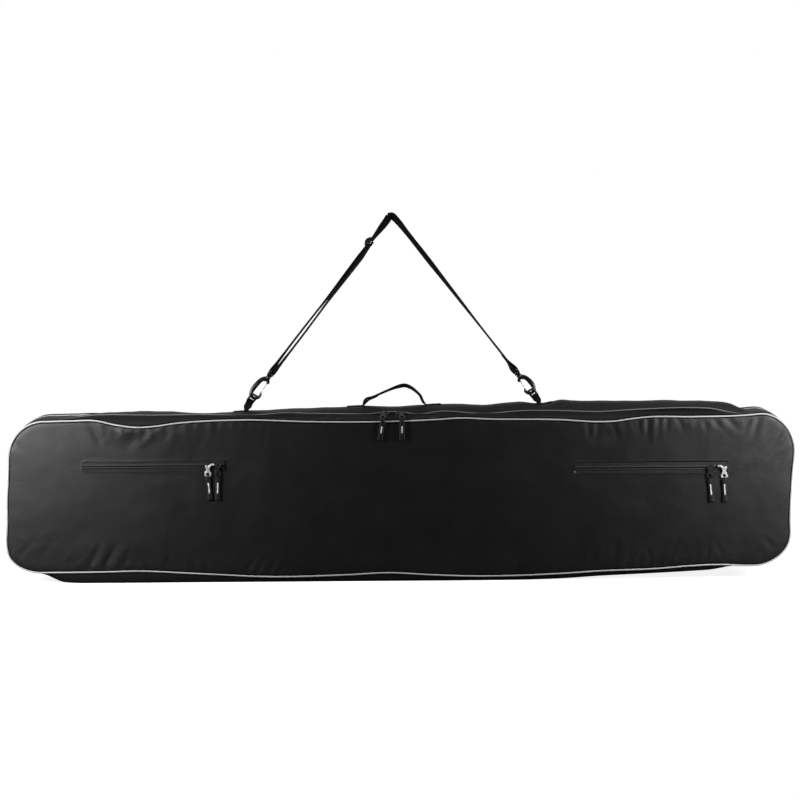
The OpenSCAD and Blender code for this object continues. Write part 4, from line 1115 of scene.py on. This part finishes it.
def foot_at(x):
    """Height of the middle of webbing that lies on the gusset's crest."""
    return float(curve(CREST, x)) + WEB_T / 2 + 0.1


def web_path(points, per_span=8):
    """Smooth path through (x, z) points in the bag's middle plane."""
    return through([(x, 0, z) for x, z in points], per_span)


def tilted(line, angle):
    """Directions across webbing along a line in the XZ plane, turned about that line by radians."""
    ahead = normed(np.gradient(line, axis=0))
    below = np.stack([ahead[:, 2], 0 * ahead[:, 0], -ahead[:, 0]], -1)
    angle = np.broadcast_to(angle, len(line))[:, None]
    return np.cos(angle) * np.array([0, 1.0, 0]) + np.sin(angle) * below


def hold_web(obj, body, low, high, *nodes):
    """Webbing sewn to the bag: takes the webbing material, hides the CAD nodes that it stands for, and bakes
    its place into its points. Body, low and high are not used.
    """
    obj.data.materials.append(WEBBING)
    if nodes:
        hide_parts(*nodes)
    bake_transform(obj)


def box_stitches(name, x0, x1):
    """Sewn box with a cross, as on the end of a webbing strap."""
    half = WEB_W / 2 - 3.2
    inset = 3.0
    a, b = x0 + inset, x1 - inset
    line = [(a, -half), (b, -half), (b, half), (a, half), (a, -half), (b, half), (b, -half), (a, half)]
    sewn = [(x, y, foot_at(x) + WEB_T / 2) for x, y in line]
    dress(stitches(name, sewn, (0, 0, 1), pitch=4.0, length=2.9), "bag", "webbing", THREAD)


handle_low, handle_high = (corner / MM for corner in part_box("handle_sewn_ends"))
root_left, root_right = handle_low.x + 36, handle_high.x - 36
left_foot = [(x, foot_at(x)) for x in (handle_low.x, handle_low.x + 15, root_left - 6)]
right_foot = [(x, foot_at(x)) for x in (root_right + 6, handle_high.x - 15, handle_high.x)]
# Arch of the handle, as places along the bag from its left root and heights over the pivot
HANDLE_ARCH = [
    (0.8, -7), (3.4, -1.8), (9.4, 1.4), (19.9, 4), (40.9, 13), (61.8, 21.5), (75.8, 26), (84, 27.4),
    (91, 26.6), (100, 22.5), (107.2, 17.3), (114, 11.4), (119.4, 5.1), (123, -3),
]
arch = [(root_left + x, HANDLE_TURN + z) for x, z in HANDLE_ARCH]
left_up, right_up = left_foot[-1][1], right_foot[0][1]
handle_line = web_path([
    *left_foot, (root_left - 0.5, left_up + 4), *arch, (root_right - 0.4, right_up + 4), *right_foot,
])
doubled = ease((handle_line[:, 2] - FOOT_Z) / 5)
apex = np.exp(-((handle_line[:, 0] - (root_left + 84)) / 24) ** 2)
handle = bar("carry_handle_webbing", handle_line, tilted(handle_line, np.radians(9 + 8 * apex) * doubled),
             WEB_W, WEB_T + 1.8 * doubled + 1.0 * apex, round_power=5, around=20)
hold_web(handle, "handle", FOOT_Z + 4, HANDLE_TURN + 6, "carry_handle", "handle_sewn_ends")
# A second layer of webbing, folded under the handle at its left root
fold_line = web_path([
    (root_left - 4, left_up - 0.2), (root_left + 1.4, left_up + 3),
    *[(root_left + x, HANDLE_TURN + z) for x, z in ((5, -7), (11.4, -2), (20.6, 1.8), (29, 6))],
])
fold_up = ease((fold_line[:, 2] - FOOT_Z) / 8)
fold_piece = bar("handle_fold", fold_line, tilted(fold_line, np.radians(9) * fold_up),
                 WEB_W - 1.5, WEB_T + 0.8, round_power=5, around=20)
hold_web(fold_piece, "handle", FOOT_Z + 4, HANDLE_TURN + 6)
box_stitches("handle_stitches_left", handle_low.x, root_left - 6)
box_stitches("handle_stitches_right", root_right + 6, handle_high.x)

# Strap legs stand on the rings: u runs up the leg from the ring's lower bar, and +x is the inner side.
# A side's number is its leg's way along the bag.
SIDES = {"left": 1, "right": -1}
RINGS = {side: joint_place(side + "_hook_swivel") for side in SIDES}
LEG_WAY = JOINT_AT["left_hook_swivel"]["axis"]
# Places up the leg of the eye's bar, the adjuster and the strap's peak
EYE_U = 64.2
ADJUSTER_U = 407.7
PEAK_U = 475.0
# Distance of a layer of webbing from the leg's middle, at the eye
LAYER = 3.3
# How far the rings and the eyes are turned about the leg
RING_TURN = math.radians(26)
EYE_TURN = math.radians(19)
# Each hook hangs a little longer than its pattern, and its ring with it
HANG = {"left": -12.0, "right": -4.0}
# How far the webbing is turned about each leg, in degrees, at distances up the leg
LEFT_TWIST = [
    (60, 0), (74, 3), (88, 10), (120, 8.5), (180, 7.5), (225, 7.5), (250, 9), (270, 11), (310, 15),
    (360, 19), (425, 20), (452, 34), (480, 38),
]
RIGHT_TWIST = [
    (60, 0), (100, 7), (172, 7.5), (252, 14), (300, 18), (353, 24), (448, 27), (462, 31), (480, 36),
]


def leg_frame(side):
    """The leg's inner side, its way up and its start, in millimetres."""
    way = SIDES[side]
    inner = Vector((way * LEG_WAY[2], 0, -LEG_WAY[0]))
    up = Vector((way * LEG_WAY[0], 0, LEG_WAY[2]))
    return inner, up, Vector(RINGS[side])


def on_leg(side, points):
    """Places in the leg's own (x, y, u) to places in the frame, in millimetres."""
    inner, up, start = (np.array(v) for v in leg_frame(side))
    points = np.asarray(points, float)
    return start + points[..., :1] * inner + points[..., 1:2] * np.array([0, 1.0, 0]) + points[..., 2:] * up


def leg_place(side, across, along, out):
    """Matrix that lays a flat outline on the leg. Each argument is an axis of the leg, 'x', 'y' or 'u'."""
    inner, up, start = leg_frame(side)
    axes = {"x": inner, "y": Vector((0, 1, 0)), "u": up}
    place = Matrix.Identity(4)
    for column, name in enumerate((across, along, out)):
        place.col[column].xyz = axes[name]
    place.col[3].xyz = start * MM
    return place


def shifted(side, place, u, x=0.0):
    """The same place, moved along the leg's own axes."""
    offset = on_leg(side, [(x, 0, u)])[0] - on_leg(side, [(0, 0, 0)])[0]
    return Matrix.Translation(Vector(offset) * MM) @ place


def hook_outline(hang):
    """Hook seen from the side: a swelling spine, a round bow and a tip that curls back to the gate."""
    spine = [
        (6.6, 38.4, 6.0), (5.2, 43.2, 8.0), (0, 45.9, 9.4), (-5.6, 42.4, 9.2), (-9.0, 36, 9.4),
        (-10.6, 28, 10.2), (-10.6, 20, 10.0), (-7.8, 12.0, 7.6), (-1, 8.6, 6.6), (5.4, 10.5, 6.4),
        (9.4, 16.4, 6.2), (9.2, 21.0, 5.8), (7.8, 23.8, 4.0),
    ]
    line = through([(x, u + hang * float(ease((40 - u) / 26)), wide) for x, u, wide in spine], 6)
    ahead = normed(np.gradient(line[:, :2], axis=0))
    side_way = np.stack([-ahead[:, 1], ahead[:, 0]], 1)
    left = line[:, :2] + side_way * line[:, 2:] / 2
    right = line[:, :2] - side_way * line[:, 2:] / 2
    return left.tolist() + right[::-1].tolist(), line


def turn_on_leg(obj, side, centre, angle_at):
    """Turns a piece about the leg's line through a centre, by an angle that depends on the place."""
    up = leg_frame(side)[1]
    for vertex in obj.data.vertices:
        place = vertex.co / MM
        turn = Matrix.Rotation(-SIDES[side] * angle_at(place), 3, up)
        vertex.co = (turn @ (place - centre) + centre) * MM


# Length of a tab's sewn foot, and radius of a ring's wire as its tab goes round it
TAB_FOOT = 24
WIRE_R = 2
for side, way in SIDES.items():
    hang = HANG[side]
    # Tab: webbing sewn to the bag's top, up to the ring along the leg's lean, round its bar and down again
    held = on_leg(side, [(0, 0, hang)])[0]
    root = np.array([held[0] - way * 9, foot_at(held[0] - way * 9)])
    along = normed(np.array([held[0], held[2]]) - root)
    out = np.array([-way * along[1], way * along[0]])
    lean = math.degrees(math.atan2(abs(along[0]), along[1]))
    r = WIRE_R + 0.3 + WEB_T / 2
    angles = np.radians(np.linspace(196 - lean, -16 - lean, 12))
    loop = [(held[0] + way * r * math.cos(a), held[2] + r * math.sin(a)) for a in angles]
    foot = [(x, foot_at(x)) for x in (root[0] - way * (3 + TAB_FOOT), root[0] - way * 15, root[0] - way * 7)]
    bottom = np.array([held[0], held[2]]) - along * 6
    rise = [root - (way * 3, 0) + (0, 1.6), root + along * 4 + out * 3.4, bottom + out * 2.2]
    fall = [bottom - out * 2.2, root + along * 4 - out * 3.4, root - along * 0.6 - out * 5.5]
    line = web_path([*foot, *rise, *loop, *fall], 4)
    tab = bar(side + "_tab_fold", line, (0, 1, 0), WEB_W, WEB_T, round_power=5, around=20)
    inside = web_path([root, root + along * 4, bottom], 4)
    core = bar(side + "_tab_core", inside, (0, 1, 0), WEB_W - 1.2, np.linspace(9.5, 3.4, len(inside)),
               round_power=5, around=20)
    tab = joined(side + "_tab_webbing", [tab, core])
    turn_on_leg(tab, side, Vector(held), lambda place: RING_TURN * float(ease((place.z - root[1] - 1) / 8)))
    nodes = [side + "_strap_tab"] + (["strap_tab_feet"] if side == "left" else [])
    hold_web(tab, "strap", root[1] + 2, held[2] - 4, *nodes)
    box_stitches(side + "_tab_stitches", *sorted((foot[0][0], foot[2][0])))

    # Ring: an oblong of round wire, turned a little about the leg
    half = WEB_W / 2 + 2.4
    corners = [(half - 3, 0), (half - 0.9, 0.9), (half, 3), (half, 12), (half - 0.9, 14.1), (half - 3, 15)]
    oblong = corners + [(-y, u) for y, u in reversed(corners)]
    turned = [(y * math.sin(RING_TURN), y * math.cos(RING_TURN), u + hang) for y, u in oblong]
    ring_line = on_leg(side, through(turned, 5, closed=True))
    ring = bar(side + "_ring_wire", ring_line, (0.31, 1, 0.13), 4.8, 4.8, round_power=2, around=12, loop=True)
    dress(ring, "strap", "black_enamel", ENAMEL, side + "_ring")

    # Hook: moulded body with a raised ridge down each face of its spine, its shoulder, stem and head
    outline, spine = hook_outline(hang)
    pieces = [moved(moulded(side + "_hook_body", [outline], 9.0, 2.4), leg_place(side, "x", "u", "y"))]
    ridge_x, ridge_u = spine[14:46, 0] * 1.02 - 0.3, spine[14:46, 1]
    ridge_high = 2.4 - 1.2 * np.linspace(-1, 1, len(ridge_x)) ** 2
    for y in (-4.2, 4.2):
        ridge_line = on_leg(side, np.stack([ridge_x, np.full_like(ridge_x, y), ridge_u], -1))
        pieces.append(bar("%s_hook_ridge_%g" % (side, y), ridge_line, (0, 1, 0), 1.4, ridge_high, around=10))
    for u0, u1, radius in ((46.5, 53.0, 5.6), (52.5, 59.0, 2.9), (57.9, 59.8, 4.4)):
        stem_line = on_leg(side, [(0, 0, u) for u in np.linspace(u0, u1, 7)])
        thick = 2 * radius * (1 - 0.16 * np.abs(np.linspace(-1, 1, 7)) ** 4)
        pieces.append(bar("%s_stem_%g" % (side, u0), stem_line, (0, 1, 0), thick, thick, 2, 18))
    hook = joined(side + "_hook_moulding", pieces)
    dress(hook, side + "_hook", "hook_plastic", ACETAL, side + "_hook")

    # Gate: two sprung wires on a sleeve round the hook's pin
    pin = (5.5, 39.2)
    wires = []
    for y in (-1.35, 1.35):
        end = pin[1] - 15.0 + hang * 0.8
        wire = [(pin[0], y, pin[1]), (pin[0] + 0.8, y, (pin[1] + end) / 2), (pin[0] + 1.6, y, end)]
        wire_line = on_leg(side, through(wire, 4))
        wires.append(bar("%s_wire_%g" % (side, y), wire_line, (0, 1, 0), 1.6, 1.6, 2, 10))
    sleeve = on_leg(side, [(pin[0], y, pin[1]) for y in np.linspace(-2.3, 2.3, 5)])
    wires.append(bar(side + "_sleeve", sleeve, (0, 0, 1), 4.3, 4.3, 2, 16))
    dress(joined(side + "_gate_wires", wires), side + "_gate", "gate_wire", STEEL, side + "_gate")

    # Swivel eye: a round collar on the hook's stem, and a loop that the webbing runs through
    collar = [arc_points(0, 0, 6.2, 0, 360, 28)[:-1], arc_points(0, 0, 3.3, 360, 0, 28)[:-1]]
    disc_spot = shifted(side, leg_place(side, "x", "y", "u"), u=55.5)
    disc = moved(moulded(side + "_collar", collar, 4.0, 0.9), disc_spot)
    arms = [(3.6, 55.6), (11.5, 55.9), (14.6, 57.2), (15.2, 60.5), (14.4, 63.4), (12, 64.2), (6, 64.2)]
    frame_line = arms + [(-y, u) for y, u in reversed(arms)]
    turned = [(y * math.sin(EYE_TURN), y * math.cos(EYE_TURN), u) for y, u in frame_line]
    eye_line = on_leg(side, through(turned, 4))
    loop_bar = bar(side + "_eye_loop", eye_line, (1, 0, 0.01), 4.6, 4.4, round_power=2.4, around=12)
    eye = joined(side + "_eye_moulding", [disc, loop_bar])
    dress(eye, "strap", "hook_plastic", ACETAL, side + "_swivel_eye")


def leg_loop(side, flip):
    """Half turn of webbing under the eye's bar, from one layer to the other."""
    angles = np.radians(np.linspace(0, -180, 9))
    points = [(LAYER * math.cos(a), 0, EYE_U + LAYER * math.sin(a)) for a in angles]
    return on_leg(side, points[::-1] if flip else points)


def layer_at(u):
    """Distance of a layer from the leg's middle: bowed apart above the eye, closer at the adjuster."""
    bow = math.sin(min(max((u - EYE_U) / 190, 0), 1) * math.pi)
    return LAYER + 0.7 * bow - 0.8 * float(ease((u - 150) / 150))


left_inner = on_leg("left", [(layer_at(u), 0, u) for u in np.linspace(ADJUSTER_U + 4, EYE_U + 12, 20)])
left_outer = on_leg("left", [(-layer_at(u), 0, u) for u in np.linspace(EYE_U + 12, PEAK_U - 12, 24)])
right_ups = np.linspace(PEAK_U - 16, EYE_U + 40, 22)
right_leg = on_leg("right", [(0.5 * math.sin(u / 90) - 0.9, 0, u) for u in right_ups])
right_in = on_leg("right", [(-1.3, 0, EYE_U + 22), (-2.8, 0, EYE_U + 8)])
right_out = on_leg("right", [(2.8, 0, EYE_U + 8), (1.3, 0, EYE_U + 20), (1.1, 0, EYE_U + 42)])
# The strap's peak, over the ends of both legs, and the radius of its bend there
peak = (left_outer[-1] + right_leg[0]) / 2 + (-3.0, 0, 14)
CROWN_R = 6.5
crown_angles = np.radians(np.linspace(140, 40, 11))
crown_points = [peak + (CROWN_R * math.cos(a), 0, CROWN_R * math.sin(a) - CROWN_R) for a in crown_angles]
strap_line = through(np.concatenate([
    left_inner, leg_loop("left", False), left_outer, crown_points,
    right_leg, right_in, leg_loop("right", True), right_out,
]), 3)
on_left = strap_line[:, 0] < peak[0]
legs = {side: (strap_line - RINGS[side]) @ np.array(leg_frame(side)[1]) for side in SIDES}
twist = np.where(on_left, curve(LEFT_TWIST, legs["left"]), curve(RIGHT_TWIST, legs["right"]))
rising = np.gradient(strap_line[:, 2]) > 0
twist = np.radians(twist) * np.where(rising == on_left, 1, -1)
# The webbing's own end is drawn in, where it is tucked into the adjuster
tucked = WEB_W * (0.3 + 0.7 * ease((run_of(strap_line) - 4) / 40))
strap = bar("shoulder_strap_webbing", strap_line, tilted(strap_line, twist), tucked, WEB_T + 0.5,
            round_power=5, around=20)


def turn_at_eye(obj, side):
    """Turns the end of the webbing with the eye that it runs through."""
    _, up, start = leg_frame(side)

    def angle_at(place):
        if (place.x < peak[0]) != (side == "left"):
            return 0.0
        return EYE_TURN * (1 - float(ease(((place - start).dot(up) - EYE_U - 2) / 28)))

    turn_on_leg(obj, side, start, angle_at)


turn_at_eye(strap, "left")
turn_at_eye(strap, "right")
dress(strap, "strap", "webbing", WEBBING, "strap_left_leg", "strap_right_leg")
sewn_box = ((-9, 30), (-9, 41), (9, 41), (9, 30), (-9, 30))
sewn = on_leg("right", [(-1.0, y, EYE_U + u) for y, u in sewn_box])
outer = -np.array(leg_frame("right")[0])
thread = stitches("strap_end_stitches", sewn + outer * 1.1, outer, pitch=3.6, length=2.6)
turn_at_eye(thread, "right")
dress(thread, "strap", "webbing", THREAD)

# Adjuster: a frame outside the webbing, a middle bar between its layers, and a fold of webbing over that bar
frame_outline = [round_box(31.4, 21, 3.4), round_box(25.6, 14.6, 1.8)[::-1]]
plate = moved(moulded("adjuster_frame", frame_outline, 3.0, 1.0),
              shifted("left", leg_place("left", "y", "u", "x"), x=-5.2, u=ADJUSTER_U))
bar_line = on_leg("left", [(0, y, ADJUSTER_U) for y in np.linspace(-15.2, 15.2, 9)])
pieces = [plate, bar("adjuster_bar", bar_line, (1, 0, 0), 2.6, 3.2, 2.6, 12)]
for y in (-14.2, 14.2):
    cheek_line = on_leg("left", [(x, y, ADJUSTER_U) for x in np.linspace(-5.8, 1.2, 6)])
    pieces.append(bar("adjuster_cheek_%g" % y, cheek_line, (0, 1, 0), 2.8, 9.0, 4, 12))
adjuster = joined("adjuster_moulding", pieces)
over_bar = [(-4.4, -11), (-6.2, -9), (-9.4, -4), (-10.2, 0), (-9.0, 4.5), (-6.0, 8.5), (-4.4, 10)]
over_line = on_leg("left", through([(x, 0, ADJUSTER_U + u) for x, u in over_bar], 5))
fold_over = bar("adjuster_web_fold", over_line, (0, 1, 0), WEB_W - 0.6, WEB_T, round_power=5, around=20)
_, up, start = leg_frame("left")
turn = Matrix.Rotation(-math.radians(float(curve(LEFT_TWIST, ADJUSTER_U))), 4, up)
lean_in = Matrix.Translation(start * MM) @ turn @ Matrix.Translation(-start * MM)
dress(moved(adjuster, lean_in), "strap_adjuster", "hook_plastic", ACETAL, "strap_adjuster")
dress(moved(fold_over, lean_in), "strap_adjuster", "webbing", WEBBING)

# Pocket bags: flat cloth bags that hang behind the pocket zips
for side in SIDES:
    low, high = (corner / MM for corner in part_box(side + "_pocket_bag"))
    outline = round_box(high.x - low.x, high.z - low.z, 14)
    turn = Matrix.Translation((low + high) / 2 * MM) @ Matrix.Rotation(math.pi / 2, 4, "X")
    bag_piece = moulded(side + "_pocket_cloth", [outline], high.y - low.y - 0.2, 0.5, turn)
    dress(bag_piece, "lid", "lining", LINING, side + "_pocket_bag")


# Studio: long lens a little above the bag, a lamp at each end, a long one over the front and a fill behind

def area_lamp(name, place, aim, size, watts):
    """White rectangle lamp, turned towards its aim. Places are in metres."""
    lamp = bpy.data.lights.new(name, "AREA")
    lamp.shape = "RECTANGLE"
    lamp.size, lamp.size_y = size
    lamp.energy = watts
    obj = bpy.data.objects.new(name, lamp)
    scene.collection.objects.link(obj)
    obj.location = place
    obj.rotation_euler = (Vector(aim) - Vector(place)).to_track_quat("-Z", "Y").to_euler()


area_lamp("left_softbox", (-1.1, -0.72, 0.58), (-0.82, 0, 0.28), (0.5, 0.5), 17.5)
area_lamp("right_softbox", (1.2, -0.72, 0.58), (0.92, 0, 0.3), (0.5, 0.5), 18.5)
area_lamp("long_top", (0, -0.75, 1.6), (0, 0, 0.25), (2.4, 0.3), 5.6)
area_lamp("back_fill", (0, 2.4, 0.17), (0, 0, 0.17), (2.8, 0.28), 19)

world = bpy.data.worlds.new("studio")
scene.world = world
world.use_nodes = True
tree = world.node_tree
rays = add(tree, "ShaderNodeLightPath")
clear = add(tree, "ShaderNodeMath", [(0, rays, "Is Camera Ray"), (1, rays, "Is Transmission Ray")],
            operation="MAXIMUM")
# The white wall stands behind the bag, so a reflection shows it only where it looks that way
sky = add(tree, "ShaderNodeTexCoord")
sky_way = add(tree, "ShaderNodeSeparateXYZ", [("Vector", sky, "Generated")])
wall = add(tree, "ShaderNodeMapRange", [("Value", sky_way, "Y")], From_Min=0.1, From_Max=0.5)
mirror = add(tree, "ShaderNodeMath", [(0, rays, "Is Glossy Ray"), (1, wall, "Result")], operation="MULTIPLY")
seen = add(tree, "ShaderNodeMath", [(0, clear, 0), (1, mirror, 0)], operation="MAXIMUM")
level = add(tree, "ShaderNodeMapRange", [("Value", seen, 0)], To_Min=0.02, To_Max=1.0)
backdrop = tree.nodes["Background"]
backdrop.inputs["Color"].default_value = (1, 1, 1, 1)
tree.links.new(level.outputs["Result"], backdrop.inputs["Strength"])

floor_material, tree, shader = surface("white_studio_floor")
shader.inputs["Roughness"].default_value = 0.9
shader.inputs["Specular IOR Level"].default_value = 0.0
rays = add(tree, "ShaderNodeLightPath")
shade = add(tree, "ShaderNodeMapRange", [("Value", rays, "Is Camera Ray")], To_Min=0.08, To_Max=0.8)
tree.links.new(shade.outputs["Result"], shader.inputs["Base Color"])
shader.inputs["Emission Color"].default_value = (1, 1, 1, 1)
# The floor's white is weaker close to the bag, where the lamps make it up, so that the shadow shows
spot = add(tree, "ShaderNodeTexCoord")
oval = add(tree, "ShaderNodeMapping", [("Vector", spot, "Object")], Scale=(0.45, 1.0, 1.0))
away = add(tree, "ShaderNodeVectorMath", [(0, oval, "Vector")], operation="LENGTH")
white = add(tree, "ShaderNodeMapRange", [("Value", away, "Value")],
            From_Min=0.3, From_Max=1.1, To_Min=0.86, To_Max=0.985)
glow = add(tree, "ShaderNodeMath", [(0, rays, "Is Camera Ray"), (1, white, "Result")], operation="MULTIPLY")
tree.links.new(glow.outputs[0], shader.inputs["Emission Strength"])
# The floor lies just under the bag, and reaches far beyond what the camera sees
FLOOR_Z = -0.0006
FLOOR_REACH = 60.0
floor_corners = [(x * FLOOR_REACH, y * FLOOR_REACH, FLOOR_Z) for x, y in ((-1, -1), (1, -1), (1, 1), (-1, 1))]
floor_mesh = bpy.data.meshes.new("studio_floor")
floor_mesh.from_pydata(floor_corners, [], [(0, 1, 2, 3)])
floor_mesh.materials.append(floor_material)
floor = bpy.data.objects.new("studio_floor", floor_mesh)
scene.collection.objects.link(floor)

camera_data = bpy.data.cameras.new("camera")
camera_data.lens = 150
camera_data.sensor_width = 36
camera_data.clip_end = 200
camera = bpy.data.objects.new("camera", camera_data)
scene.collection.objects.link(camera)
scene.camera = camera
ELEVATION = math.radians(4.5)
ROLL = math.radians(-0.435)
AIM = Vector((-0.0017, -0.073, 0.383))
DISTANCE = 6.98
back_way = Vector((0, -math.cos(ELEVATION), math.sin(ELEVATION)))
camera.location = AIM + back_way * DISTANCE
camera.rotation_mode = "QUATERNION"
roll = Matrix.Rotation(ROLL, 3, "Z").to_quaternion()
camera.rotation_quaternion = (-back_way).to_track_quat("-Z", "Y") @ roll
scene.view_settings.view_transform = "Standard"
